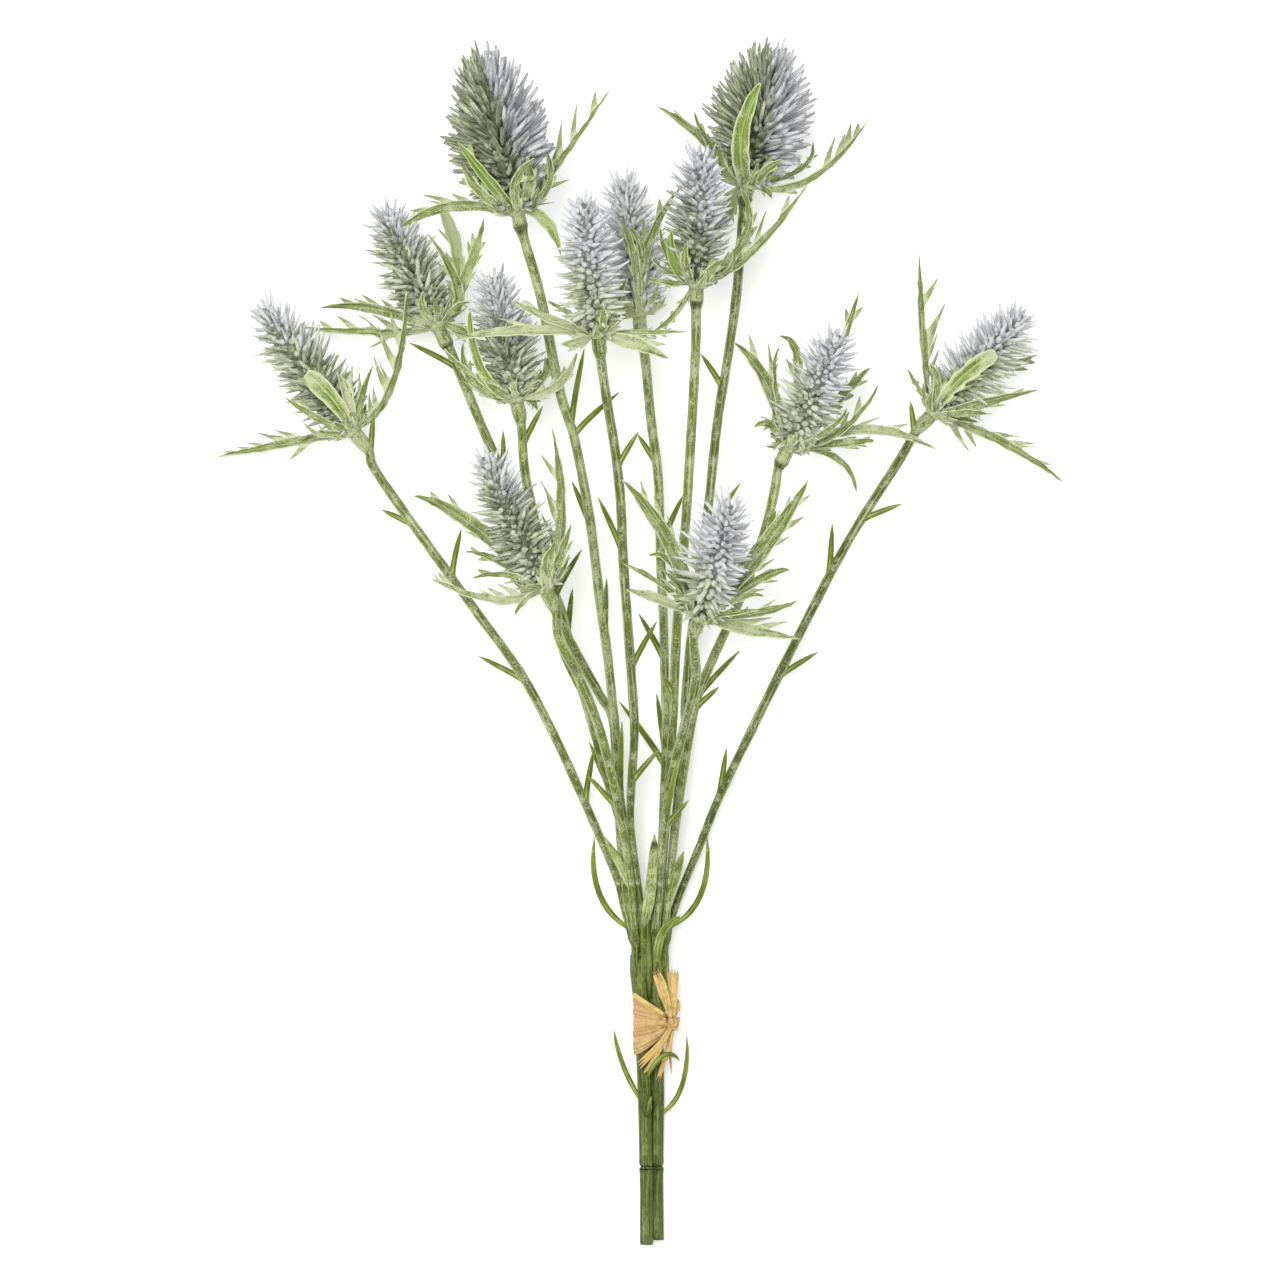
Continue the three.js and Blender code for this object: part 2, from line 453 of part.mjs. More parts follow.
/** One bract. It keeps clear of the flower head and turns its upper face to the head's axis. */
function bract(branch, [mx, my, mz, tx, ty, tz, fullWidth]) {
  const { centre, axis, length } = headFrame(branch);
  const middle = new THREE.Vector3(mx, my, mz);
  const outward = middle.clone().sub(centre).projectOnPlane(axis).normalize();
  const start = centre.clone().addScaledVector(outward, BRACT_ROOT_RADIUS);
  const route = bend(start, middle, new THREE.Vector3(tx, ty, tz));
  const stations = [];
  for (const t of BLADE_SHARES) {
    const point = route.getPoint(t);
    const height = point.clone().sub(centre).dot(axis);
    const foot = centre.clone().addScaledVector(axis, height);
    const away = point.clone().sub(foot);
    const share = (height - CUP_ABOVE) / length;
    const room = share > 0 && share < 1 ? between(branch.profile, share) + BRACT_CLEARANCE : 0;
    if (t > 0 && away.length() < room) point.copy(foot).addScaledVector(away.normalize(), room);
    const width = (fullWidth / 2) * BRACT_BODY * between(BRACT_WIDTHS, t);
    const up = axis.clone().sub(away.normalize());
    const thickness = BRACT_THICKNESS * THREE.MathUtils.lerp(1, BRACT_TIP_THICKNESS, t);
    stations.push({ point, up, width, height: thickness / 2 });
  }
  return sweep(DIAMOND, stations);
}

/** A turned solid, its profile given as [radius, height] from bottom to top, set along an axis. */
function turned(profile, sides, centre, axis) {
  const points = profile.map(([radius, height]) => new THREE.Vector2(radius, height));
  const geometry = new THREE.LatheGeometry(points, sides);
  geometry.applyQuaternion(new THREE.Quaternion().setFromUnitVectors(new THREE.Vector3(0, 1, 0), axis));
  geometry.translate(centre.x, centre.y, centre.z);
  return solidOf(geometry);
}

/** The collar: a shallow cup that carries every bract of one head. */
function collar(branch) {
  const { centre, axis } = headFrame(branch);
  const profile = [[0, -CUP_BELOW], [SWELLING_RADIUS, -CUP_BELOW], [CUP_RADIUS, 0],
    [SWELLING_RADIUS, CUP_ABOVE], [0, CUP_ABOVE]];
  let solid = turned(profile, CUP_SIDES, centre, axis);
  for (const one of branch.bracts) solid = solid.add(bract(branch, one));
  return solid;
}

/** The flower head: whorls of spines, each a skirt that leans towards the tip. */
function flowerHead(branch) {
  const { centre, axis, length } = headFrame(branch);
  const start = centre.clone().addScaledVector(axis, CUP_ABOVE + GAP);
  const profile = [[0, 0], [between(branch.profile, 0), 0]];
  for (let whorl = 0; whorl < HEAD_WHORLS; whorl += 1) {
    const root = (whorl + WHORL_ROOT_AT) / HEAD_WHORLS;
    const rim = (whorl + WHORL_RIM_AT) / HEAD_WHORLS;
    profile.push([between(branch.profile, root) * WHORL_ROOT, root * length]);
    profile.push([between(branch.profile, rim), rim * length]);
  }
  profile.push([0, length]);
  return turned(profile, HEAD_SIDES, start, axis);
}

BRANCHES.forEach((branch, i) => {
  const name = `branch_${i + 1}`;
  addPiece(`${name}_stem`, branchStem(branch), STEM_GREEN);
  addPiece(`${name}_bracts`, collar(branch), BRACT_SAGE);
  addPiece(`${name}_head`, flowerHead(branch), HEAD_LAVENDER);
});

/** The stations of a main stem between two heights, and its curve. */
function mainStemStations(main, fromY, toY, widthAt, heightAt) {
  const curve = curveThrough([...main.route, main.fork].map(vector));
  const steps = Math.round((toY - fromY) / MAIN_STEM_STEP);
  const stations = [];
  for (let i = 0; i <= steps; i += 1) {
    const t = i / steps;
    const { point } = onCurve(curve, THREE.MathUtils.lerp(fromY, toY, t));
    stations.push({ point, up: UP, width: widthAt(t), height: heightAt(t) });
  }
  return { curve, stations };
}

for (const main of MAIN_STEMS) {
  const footEnd = main.foot - GAP;
  const constant = () => MAIN_STEM_RADIUS;
  const foot = mainStemStations(main, main.route[0][1], footEnd, constant, constant);
  addPiece(`${main.name}_stem_foot`, sweep(polygon(MAIN_STEM_SIDES), foot.stations), STEM_GREEN);

  const widthAt = (t) => between(MAIN_STEM_WIDTHS, t);
  const heightAt = (t) => between(MAIN_STEM_HEIGHTS, t);
  const upper = mainStemStations(main, main.foot, main.fork[1], widthAt, heightAt);
  let solid = sweep(polygon(MAIN_STEM_SIDES), upper.stations);
  for (const { from, middle, tip } of main.leaves) {
    const route = bend(onCurve(upper.curve, from).point, vector(middle), vector(tip));
    solid = solid.add(needleLeaf(route, 2 * LEAF_STEPS));
  }
  addPiece(`${main.name}_main_stem`, solid, STEM_GREEN);
}

/** A flat outline with round ends, twice as wide as halfWidth. */
function roundEnded(outline, halfWidth, halfHeight) {
  const middle = halfWidth - halfHeight;
  outline.absarc(middle, 0, halfHeight, -Math.PI / 2, Math.PI / 2, false);
  outline.absarc(-middle, 0, halfHeight, Math.PI / 2, (3 * Math.PI) / 2, false);
  outline.closePath();
  return outline;
}

/** The wound band: an oval ring round both stems, cut to a fan that gathers towards the knot. */
function raffiaWrap() {
  const outerHalfWidth = WRAP_HALF_WIDTH + WRAP_THICKNESS;
  const outer = roundEnded(new THREE.Shape(), outerHalfWidth, WRAP_HALF_HEIGHT + WRAP_THICKNESS);
  outer.holes.push(roundEnded(new THREE.Path(), WRAP_HALF_WIDTH, WRAP_HALF_HEIGHT));
  const stations = WRAP_CENTRES.map((place, i) => {
    const size = i === 0 ? WRAP_NARROWING : 1;
    return { point: vector(place), up: UP, width: size, height: size };
  });
  const options = { depth: WRAP_CUT_HEIGHT, bevelEnabled: false };
  const fan = solidOf(new THREE.ExtrudeGeometry(outlineOf(WRAP_OUTLINE), options));
  return sweep(outer, stations, WRAP_ARC_STEPS).intersect(fan);
}

/** A flat tail of raffia. */
function raffiaTail({ route, width }) {
  const curve = curveThrough(route.map(vector));
  const stations = [];
  for (let i = 0; i <= TAIL_STEPS; i += 1) {
    const point = curve.getPoint(i / TAIL_STEPS);
    stations.push({ point, up: UP, width: width / 2, height: TAIL_THICKNESS / 2 });
  }
  return sweep(STRIP, stations);
}

addPiece('raffia_wrap', raffiaWrap(), RAFFIA_STRAW);
const knot = new THREE.IcosahedronGeometry(KNOT_RADIUS, KNOT_DETAIL).translate(...KNOT_PLACE);
addPiece('raffia_knot', solidOf(knot), RAFFIA_STRAW);
const loop = new THREE.TorusGeometry(LOOP_RADIUS, LOOP_THICKNESS, LOOP_SIDES, LOOP_STEPS);
addPiece('raffia_loop', solidOf(loop.translate(...LOOP_PLACE)), RAFFIA_STRAW);
for (const tail of TAILS) addPiece(`raffia_tail_${tail.name}`, raffiaTail(tail), RAFFIA_STRAW);

export default bunch;
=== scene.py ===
"""A tied bunch of sea holly that lies on a table.

Two main stems each carry six branches. A branch ends in a collar of toothed bracts round a cone of
spines. Raffia is wound round both stems and knotted at their right side. Sizes are in millimetres
and are scaled to metres when a mesh is finished.
"""
import logging
import math
import random
from dataclasses import dataclass, field
from enum import Enum
from typing import Sequence

import bmesh
import bpy
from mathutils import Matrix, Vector


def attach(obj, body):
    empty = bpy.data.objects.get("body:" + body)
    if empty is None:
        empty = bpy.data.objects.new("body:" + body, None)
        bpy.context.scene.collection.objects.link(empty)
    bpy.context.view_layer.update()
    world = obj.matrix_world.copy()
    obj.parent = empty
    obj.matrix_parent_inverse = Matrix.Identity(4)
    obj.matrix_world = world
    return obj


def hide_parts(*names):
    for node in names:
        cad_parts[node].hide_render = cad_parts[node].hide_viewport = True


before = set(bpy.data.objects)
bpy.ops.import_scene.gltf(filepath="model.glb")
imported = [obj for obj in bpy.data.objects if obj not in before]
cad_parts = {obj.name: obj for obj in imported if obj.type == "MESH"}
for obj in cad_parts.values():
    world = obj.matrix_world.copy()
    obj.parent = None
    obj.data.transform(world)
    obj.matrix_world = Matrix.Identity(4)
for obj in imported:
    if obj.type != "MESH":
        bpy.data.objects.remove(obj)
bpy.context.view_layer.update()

MM = 0.001
BODY = "root"
FLOOR_CLEARANCE = 0.35  # no vertex lies lower than this
GOLDEN_ANGLE = math.radians(137.508)

Triple = tuple[float, float, float]
Pair = tuple[float, float]
Profile = tuple[Pair, ...]

UP = Vector((0, 0, 1))

log = logging.getLogger("sea_holly")


class Slot(Enum):
    """The record's material slots."""

    STEM = "stem"
    BRACT = "bract"
    HEAD = "flower_head"
    RAFFIA = "raffia"


class HeadKind(Enum):
    """The two sizes of flower head."""

    SMALL = "small"
    LARGE = "large"


class Tone(Enum):
    """How fresh a bract's green is and how much frosting it carries, each from 0 to 1."""

    SAGE = (0.3, 0.45)
    FRESH = (1.0, 0.25)
    LIME = (0.95, 0.62)
    FROSTED = (0.12, 0.66)


def between(profile: Profile, t: float) -> float:
    """Read a profile at t, straight between its points.

    Args:
        profile: Pairs of position and value, by rising position.
        t: The position to read.

    Returns:
        The value there. Past either end it is the end's value.
    """
    for (t0, v0), (t1, v1) in zip(profile, profile[1:]):
        if t <= t1:
            share = min(max((t - t0) / (t1 - t0), 0.0), 1.0)
            return v0 + (v1 - v0) * share
    return profile[-1][1]


def smoothstep(low: float, high: float, value: float) -> float:
    """Rise softly from 0 at low to 1 at high."""
    share = min(max((value - low) / (high - low), 0.0), 1.0)
    return share * share * (3.0 - 2.0 * share)


def mix(first: float, second: float, share: float) -> float:
    """Blend two numbers."""
    return first + (second - first) * share


class Route:
    """A smooth curve, with t from 0 at its start to 1 at its end."""

    LOOKUPS = 24  # pieces that a measure cuts the route into
    TANGENT_STEP = 1e-3

    def point(self, t: float) -> Vector:
        """Give the place at t."""
        raise NotImplementedError

    def tangent(self, t: float) -> Vector:
        """Give the direction at t."""
        ahead = self.point(min(t + self.TANGENT_STEP, 1.0))
        return (ahead - self.point(max(t - self.TANGENT_STEP, 0.0))).normalized()

    def length(self) -> float:
        """Measure the route."""
        places = [self.point(i / self.LOOKUPS) for i in range(self.LOOKUPS + 1)]
        return sum((b - a).length for a, b in zip(places, places[1:]))

    def at_height(self, y: float) -> float:
        """Find the t where a route that runs towards +Y reaches height y."""
        low, high = 0.0, 1.0
        for _ in range(self.LOOKUPS):
            middle = (low + high) / 2
            if self.point(middle).y < y:
                low = middle
            else:
                high = middle
        return low

    def nearest(self, x: float, y: float) -> float:
        """Find the t that passes closest to (x, y), seen from above."""
        ts = [i / self.LOOKUPS for i in range(self.LOOKUPS + 1)]
        target = Vector((x, y))
        return min(ts, key=lambda t: (self.point(t).xy - target).length)


class Chain(Route):
    """A uniform Catmull-Rom curve through a list of places."""

    def __init__(self, places: Sequence[Vector]) -> None:
        """Keep the places, with one more past each end."""
        self.places = [2 * places[0] - places[1], *places, 2 * places[-1] - places[-2]]

    def point(self, t: float) -> Vector:
        """Give the place at t."""
        spans = len(self.places) - 3
        i = min(int(t * spans), spans - 1)
        s = t * spans - i
        p0, p1, p2, p3 = self.places[i:i + 4]
        v1, v2 = (p2 - p0) / 2, (p3 - p1) / 2
        cubic = 2 * p1 - 2 * p2 + v1 + v2
        square = -3 * p1 + 3 * p2 - 2 * v1 - v2
        return cubic * s ** 3 + square * s ** 2 + v1 * s + p1


class Bow(Route):
    """A single bend: a quadratic curve from start to end that is pulled towards one point."""

    def __init__(self, start: Vector, pull: Vector, end: Vector) -> None:
        """Keep the three points."""
        self.start, self.pull, self.end = start, pull, end

    @classmethod
    def through(cls, start: Vector, middle: Vector, end: Vector) -> "Bow":
        """Make the bend that is at middle halfway."""
        return cls(start, 2 * middle - (start + end) / 2, end)

    def point(self, t: float) -> Vector:
        """Give the place at t."""
        return self.start * (1 - t) ** 2 + self.pull * (2 * t * (1 - t)) + self.end * t ** 2


@dataclass
class Section:
    """One place along a swept piece.

    width and height are half sizes. along is the grain's place along the piece, and frost is added
    to the frost mark of the whole piece.
    """

    point: Vector
    width: float
    height: float
    along: float
    reach: float
    up: Vector = field(default_factory=UP.copy)
    frost: float = 0.0


class Mould:
    """A mesh in the making, with the marks that its finish reads.

    Every vertex carries five marks. grain is its place along the straightened piece, reach runs from
    0 at a root to 1 at a tip, tint picks between a finish's two colours, frost is how much frosting
    lies on it, and rim runs from 0 at the middle of a blade to 1 at its edge. corner is a number
    that keeps hold of a vertex while the mesh grows.
    """

    POLE = 1e-3  # vertices of a turned outline this close to its axis are one

    def __init__(self) -> None:
        """Start an empty mesh."""
        self.bm = bmesh.new()
        layers = self.bm.verts.layers
        self.grain = layers.float_vector.new("grain")
        self.reach = layers.float.new("reach")
        self.tint = layers.float.new("tint")
        self.frost = layers.float.new("frost")
        self.rim = layers.float.new("rim")
        self.corner = layers.int.new("corner")

    def mark(
        self, vert: bmesh.types.BMVert, grain: Vector, reach: float, tint: float, frost: float,
        rim: float = 0.0,
    ) -> None:
        """Write a vertex's five marks."""
        vert[self.grain] = grain
        vert[self.reach] = reach
        vert[self.tint] = tint
        vert[self.frost] = frost
        vert[self.rim] = rim

    def sweep(
        self, sides: int, sections: Sequence[Section], tint: float, frost: float, ribs: float = 0.0,
    ) -> None:
        """Carry a round outline along sections, closed at both ends.

        Args:
            sides: Corners of the outline.
            sections: The places that it passes.
            tint: Tint mark of the whole piece.
            frost: Frost mark of the whole piece.
            ribs: How far every other corner stands out, as a share of the radius.
        """
        ring = bmesh.ops.create_circle(self.bm, cap_ends=True, radius=1.0, segments=sides)["verts"]
        corners = [v.co.xy.copy() * (1 + (ribs if i % 2 else -ribs)) for i, v in enumerate(ring)]
        for i, v in enumerate(ring):
            v[self.corner] = i
        cap = ring[0].link_faces[0]
        last = len(sections) - 1
        for k, section in enumerate(sections):
            if k:
                made = bmesh.ops.extrude_face_region(self.bm, geom=[cap])["geom"]
                ring = [g for g in made if isinstance(g, bmesh.types.BMVert)]
                cap = next(g for g in made if isinstance(g, bmesh.types.BMFace))
            forward = (sections[min(k + 1, last)].point - sections[max(k - 1, 0)].point).normalized()
            side = section.up.cross(forward).normalized()
            up = forward.cross(side)
            for v in ring:
                x, y = corners[v[self.corner]]
                v.co = section.point + side * (x * section.width) + up * (y * section.height)
                grain = Vector((x * section.width, y * section.height, section.along))
                self.mark(v, grain, section.reach, tint, frost + section.frost, min(abs(x), 1.0))

    def turned(
        self, outline: Profile, steps: int, centre: Vector, axis: Vector,
    ) -> list[bmesh.types.BMVert]:
        """Spin an outline round an axis.

        Args:
            outline: Height and radius of each corner, from pole to pole.
            steps: Corners of each ring.
            centre: The place at height 0.
            axis: The direction of rising height.

        Returns:
            The new vertices.
        """
        bm = self.bm
        side = axis.orthogonal().normalized()
        verts = [bm.verts.new(centre + axis * height + side * radius) for height, radius in outline]
        edges = [bm.edges.new(pair) for pair in zip(verts, verts[1:])]
        bmesh.ops.spin(
            bm, geom=verts + edges, cent=centre, axis=axis, dvec=(0, 0, 0), angle=math.tau,
            steps=steps, use_merge=True, use_duplicate=False,
        )
        around = {v for face in verts[1].link_faces for v in face.verts}
        reached = set(around)
        while around:
            around = {w for v in around for e in v.link_edges for w in e.verts} - reached
            reached |= around
        result = list(reached)
        poles = [v for v in result if (v.co - centre).cross(axis).length < self.POLE]
        bmesh.ops.remove_doubles(bm, verts=poles, dist=self.POLE)
        return [v for v in result if v.is_valid]

    def finish(self, node: str, material: bpy.types.Material, slot: Slot) -> bpy.types.Object:
        """Make the mesh an object that stands for a node.

        Args:
            node: The node that it replaces.
            material: Its finish.
            slot: The record's slot for that finish. It is not used.

        Returns:
            The new piece.
        """
        for v in self.bm.verts:
            v.co.z = max(v.co.z, FLOOR_CLEARANCE)
        self.bm.verts.layers.int.remove(self.corner)
        bmesh.ops.recalc_face_normals(self.bm, faces=self.bm.faces)
        bmesh.ops.scale(self.bm, vec=(MM, MM, MM), verts=self.bm.verts)
        mesh = bpy.data.meshes.new(f"{node}_detail")
        self.bm.to_mesh(mesh)
        self.bm.free()
        mesh.shade_smooth()
        mesh.materials.append(material)
        piece = bpy.data.objects.new(mesh.name, mesh)
        bpy.context.collection.objects.link(piece)
        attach(piece, BODY)
        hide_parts(node)
        log.info("%s: %d faces", piece.name, len(mesh.polygons))
        return piece


# Finishes.

class Nodes:
    """A short way to add and join shader nodes in one tree."""

    MIX_COLOURS = (6, 7)  # the colour inputs of a mix node, which share their names with others
    MIX_RESULT = 2

    def __init__(self, tree: bpy.types.NodeTree) -> None:
        """Keep the tree."""
        self.tree = tree

    def add(self, kind: str, **settings: object) -> bpy.types.Node:
        """Add a node, with its own settings."""
        node = self.tree.nodes.new(kind)
        for name, value in settings.items():
            setattr(node, name, value)
        return node

    def join(self, source: bpy.types.NodeSocket, target: bpy.types.NodeSocket) -> None:
        """Join an output to an input."""
        self.tree.links.new(source, target)

    def mark(self, name: str, output: str = "Fac") -> bpy.types.NodeSocket:
        """Read a mark of the mesh."""
        return self.add("ShaderNodeAttribute", attribute_name=name).outputs[output]

    def math(self, operation: str, first: object, second: object) -> bpy.types.NodeSocket:
        """Work out one value from two, each a socket or a number."""
        node = self.add("ShaderNodeMath", operation=operation)
        for socket, value in zip(node.inputs, (first, second)):
            if isinstance(value, bpy.types.NodeSocket):
                self.join(value, socket)
            else:
                socket.default_value = value
        return node.outputs[0]

    def blend(self, share: bpy.types.NodeSocket, first: object, second: object) -> bpy.types.NodeSocket:
        """Blend two colours, each a socket or a colour."""
        node = self.add("ShaderNodeMix", data_type="RGBA")
        self.join(share, node.inputs["Factor"])
        for i, value in zip(self.MIX_COLOURS, (first, second)):
            if isinstance(value, bpy.types.NodeSocket):
                self.join(value, node.inputs[i])
            else:
                node.inputs[i].default_value = (*value, 1.0)
        return node.outputs[self.MIX_RESULT]

    def times(self, first: object, second: object) -> bpy.types.NodeSocket:
        """Multiply two values, each a socket or a number."""
        return self.math("MULTIPLY", first, second)

    def plus(self, first: object, second: object) -> bpy.types.NodeSocket:
        """Add two values, each a socket or a number."""
        return self.math("ADD", first, second)

    def ramp(
        self, value: bpy.types.NodeSocket, low: float, high: float, smooth: bool = True,
    ) -> bpy.types.NodeSocket:
        """Rise from 0 at low to 1 at high."""
        node = self.add("ShaderNodeMapRange", interpolation_type="SMOOTHSTEP" if smooth else "LINEAR")
        self.join(value, node.inputs["Value"])
        node.inputs["From Min"].default_value = low
        node.inputs["From Max"].default_value = high
        return node.outputs["Result"]

    def stretch(self, vector: bpy.types.NodeSocket, scale: Triple) -> bpy.types.NodeSocket:
        """Scale a vector, each axis by its own number."""
        node = self.add("ShaderNodeMapping", vector_type="POINT")
        node.inputs["Scale"].default_value = scale
        self.join(vector, node.inputs["Vector"])
        return node.outputs["Vector"]

    def noise(self, vector: bpy.types.NodeSocket, scale: Triple, detail: float) -> bpy.types.NodeSocket:
        """Read a noise whose scale differs across and along the grain."""
        node = self.add("ShaderNodeTexNoise")
        node.inputs["Scale"].default_value = 1.0
        node.inputs["Detail"].default_value = detail
        self.join(self.stretch(vector, scale), node.inputs["Vector"])
        return node.outputs["Fac"]


class Group:
    """A shared shader node group in the making."""

    def __init__(self, name: str, inputs: dict[str, str], outputs: Sequence[str]) -> None:
        """Start the group.

        Args:
            name: The group's name.
            inputs: Each input's socket kind by its name.
            outputs: The names of its outputs, which are all numbers.
        """
        self.tree = bpy.data.node_groups.new(name, "ShaderNodeTree")
        for title, kind in inputs.items():
            self.tree.interface.new_socket(name=title, in_out="INPUT", socket_type=kind)
        for title in outputs:
            self.tree.interface.new_socket(name=title, in_out="OUTPUT", socket_type="NodeSocketFloat")
        self.nodes = Nodes(self.tree)
        self.given = self.nodes.add("NodeGroupInput").outputs
        self.result = self.nodes.add("NodeGroupOutput").inputs


class Frosting:
    """The pale frosting: soft patches broken into fine flecks."""

    PATCH_SCALE = (0.3, 0.3, 0.3)
    FLECK_SCALE = (1.8, 1.8, 1.8)
    FLECK_SHARE = 0.55
    COVER_REACH = 0.45  # how far the frost mark moves the mask, about its middle
    MASK_FROM, MASK_TO = 0.42, 0.6

    @classmethod
    def build(cls) -> bpy.types.NodeTree:
        """Make the group, which gives the frosting's mask and its height."""
        group = Group(
            "frosting", {"Vector": "NodeSocketVector", "Cover": "NodeSocketFloat"}, ("Mask", "Height"),
        )
        nodes, vector = group.nodes, group.given["Vector"]
        patches = nodes.noise(vector, cls.PATCH_SCALE, 2.0)
        flecks = nodes.noise(vector, cls.FLECK_SCALE, 3.0)
        mixed = nodes.plus(nodes.times(patches, 1 - cls.FLECK_SHARE), nodes.times(flecks, cls.FLECK_SHARE))
        cover = nodes.times(nodes.math("SUBTRACT", group.given["Cover"], 0.5), cls.COVER_REACH)
        mask = nodes.ramp(nodes.plus(mixed, cover), cls.MASK_FROM, cls.MASK_TO)
        nodes.join(mask, group.result["Mask"])
        nodes.join(nodes.plus(nodes.times(mask, 0.4), nodes.times(flecks, 0.6)), group.result["Height"])
        return group.tree


class Streaks:
    """The fine lines that run along a stem, a leaf, a spine or a strand, and a slow drift of tint."""

    LINE_SCALE = (1.6, 1.6, 0.07)
    DRIFT_SCALE = (0.22, 0.22, 0.05)

    @classmethod
    def build(cls) -> bpy.types.NodeTree:
        """Make the group, which gives the lines and the drift."""
        group = Group("streaks", {"Vector": "NodeSocketVector"}, ("Lines", "Drift"))
        for title, scale in (("Lines", cls.LINE_SCALE), ("Drift", cls.DRIFT_SCALE)):
            group.nodes.join(group.nodes.noise(group.given["Vector"], scale, 2.0), group.result[title])
        return group.tree


@dataclass(frozen=True)
class Palette:
    """The colours of one finish, as linear red, green and blue."""

    deep: Triple
    body: Triple
    second: Triple
    frost: Triple
    second_frost: Triple
    tip: Triple


@dataclass(frozen=True)
class Finish:
    """A matte plant surface that reads the mesh's marks.

    The body colour and the frosting turn to their second colours with the tint mark. Lines run along
    the grain, dark in their troughs and pale on their crests. Edges from edge_from on and midribs are
    pale, the root is in deep shade until root_until, and the tip is dry from tip_from on. grain_scale
    draws the frosting out where it is below 1. A strength of 0 leaves a layer out.
    """

    name: str
    palette: Palette
    frost_strength: float
    grain_scale: Triple = (1.0, 1.0, 1.0)
    line_strength: float = 0.6
    pale_lines: float = 0.4
    edge_pale: float = 0.0
    edge_from: float = 0.7
    midrib_pale: float = 0.0
    root_shade: float = 0.0
    root_until: float = 0.22
    tip_from: float = 0.9
    tip_dryness: float = 0.5
    roughness: float = 0.7
    bump: float = 0.4

    DRIFT_REACH = 0.5  # how far the slow drift moves the tint
    TROUGHS = (0.5, 0.34)  # where the lines start to be dark, and where they are darkest
    CRESTS = (0.54, 0.68)
    MIDRIB = 0.2  # the share of the half width that a midrib fades over
    SPECULAR = 0.3
    FROST_ROUGHNESS = 0.15
    BUMP_DEPTH = 0.0002

    def build(self, frosting: bpy.types.NodeTree, streaks: bpy.types.NodeTree) -> bpy.types.Material:
        """Make the material.

        Args:
            frosting: The shared frosting group.
            streaks: The shared streaks group.

        Returns:
            The material.
        """
        material = bpy.data.materials.new(self.name)
        material.use_nodes = True
        material.node_tree.nodes.clear()
        nodes = Nodes(material.node_tree)
        grain = nodes.mark("grain", "Vector")
        lines = nodes.add("ShaderNodeGroup", node_tree=streaks)
        nodes.join(grain, lines.inputs["Vector"])
        ice = nodes.add("ShaderNodeGroup", node_tree=frosting)
        nodes.join(nodes.stretch(grain, self.grain_scale), ice.inputs["Vector"])
        nodes.join(nodes.mark("frost"), ice.inputs["Cover"])

        shader = nodes.add("ShaderNodeBsdfPrincipled")
        shader.inputs["Specular IOR Level"].default_value = self.SPECULAR
        nodes.join(self.colour(nodes, lines, ice), shader.inputs["Base Color"])
        rough = nodes.plus(nodes.times(ice.outputs["Mask"], self.FROST_ROUGHNESS), self.roughness)
        nodes.join(rough, shader.inputs["Roughness"])
        bump = nodes.add("ShaderNodeBump")
        bump.inputs["Strength"].default_value = self.bump
        bump.inputs["Distance"].default_value = self.BUMP_DEPTH
        ridges = nodes.times(lines.outputs["Lines"], self.line_strength)
        nodes.join(nodes.plus(ice.outputs["Height"], ridges), bump.inputs["Height"])
        nodes.join(bump.outputs["Normal"], shader.inputs["Normal"])
        output = nodes.add("ShaderNodeOutputMaterial")
        nodes.join(shader.outputs["BSDF"], output.inputs["Surface"])
        return material

    def colour(self, nodes: Nodes, lines: bpy.types.Node, ice: bpy.types.Node) -> bpy.types.NodeSocket:
        """Lay the colours over each other, from the body to the dry tip.

        Args:
            nodes: The material's nodes.
            lines: The streaks node.
            ice: The frosting node.

        Returns:
            The finished colour.
        """
        palette = self.palette
        drift = nodes.times(nodes.math("SUBTRACT", lines.outputs["Drift"], 0.5), self.DRIFT_REACH)
        turn = nodes.ramp(nodes.plus(nodes.mark("tint"), drift), 0.0, 1.0, smooth=False)
        powder = nodes.blend(turn, palette.frost, palette.second_frost)
        colour = nodes.blend(turn, palette.body, palette.second)
        line, reach, rim = lines.outputs["Lines"], nodes.mark("reach"), nodes.mark("rim")
        root = nodes.math("SUBTRACT", 1.0, nodes.ramp(reach, 0.0, self.root_until))
        for mask, strength, layer in (
            (nodes.ramp(line, *self.TROUGHS), self.line_strength, palette.deep),
            (nodes.ramp(line, *self.CRESTS), self.pale_lines, powder),
            (ice.outputs["Mask"], self.frost_strength, powder),
            (nodes.ramp(rim, self.edge_from, 1.0), self.edge_pale, powder),
            (nodes.ramp(rim, self.MIDRIB, 0.0), self.midrib_pale, powder),
            (root, self.root_shade, palette.deep),
            (nodes.ramp(reach, self.tip_from, 1.0), self.tip_dryness, palette.tip),
        ):
            colour = nodes.blend(nodes.times(mask, strength), colour, layer)
        return colour


STEM_FINISH = Finish(
    "stem_green",
    Palette(deep=(0.035, 0.048, 0.006), body=(0.085, 0.115, 0.012), second=(0.21, 0.275, 0.022),
            frost=(0.6, 0.63, 0.4), second_frost=(0.56, 0.61, 0.32), tip=(0.32, 0.38, 0.07)),
    frost_strength=0.62, grain_scale=(1.3, 1.3, 0.8), pale_lines=0.5, edge_pale=0.55, tip_dryness=0.3,
    roughness=0.6,
)
MAIN_STEM_FINISH = Finish(
    "main_stem_green",
    Palette(deep=(0.022, 0.033, 0.004), body=(0.054, 0.082, 0.006), second=(0.24, 0.3, 0.03),
            frost=(0.36, 0.41, 0.13), second_frost=(0.56, 0.61, 0.32), tip=(0.32, 0.38, 0.07)),
    frost_strength=0.34, grain_scale=(1.2, 1.2, 0.25), tip_dryness=0.3, roughness=0.5,
)
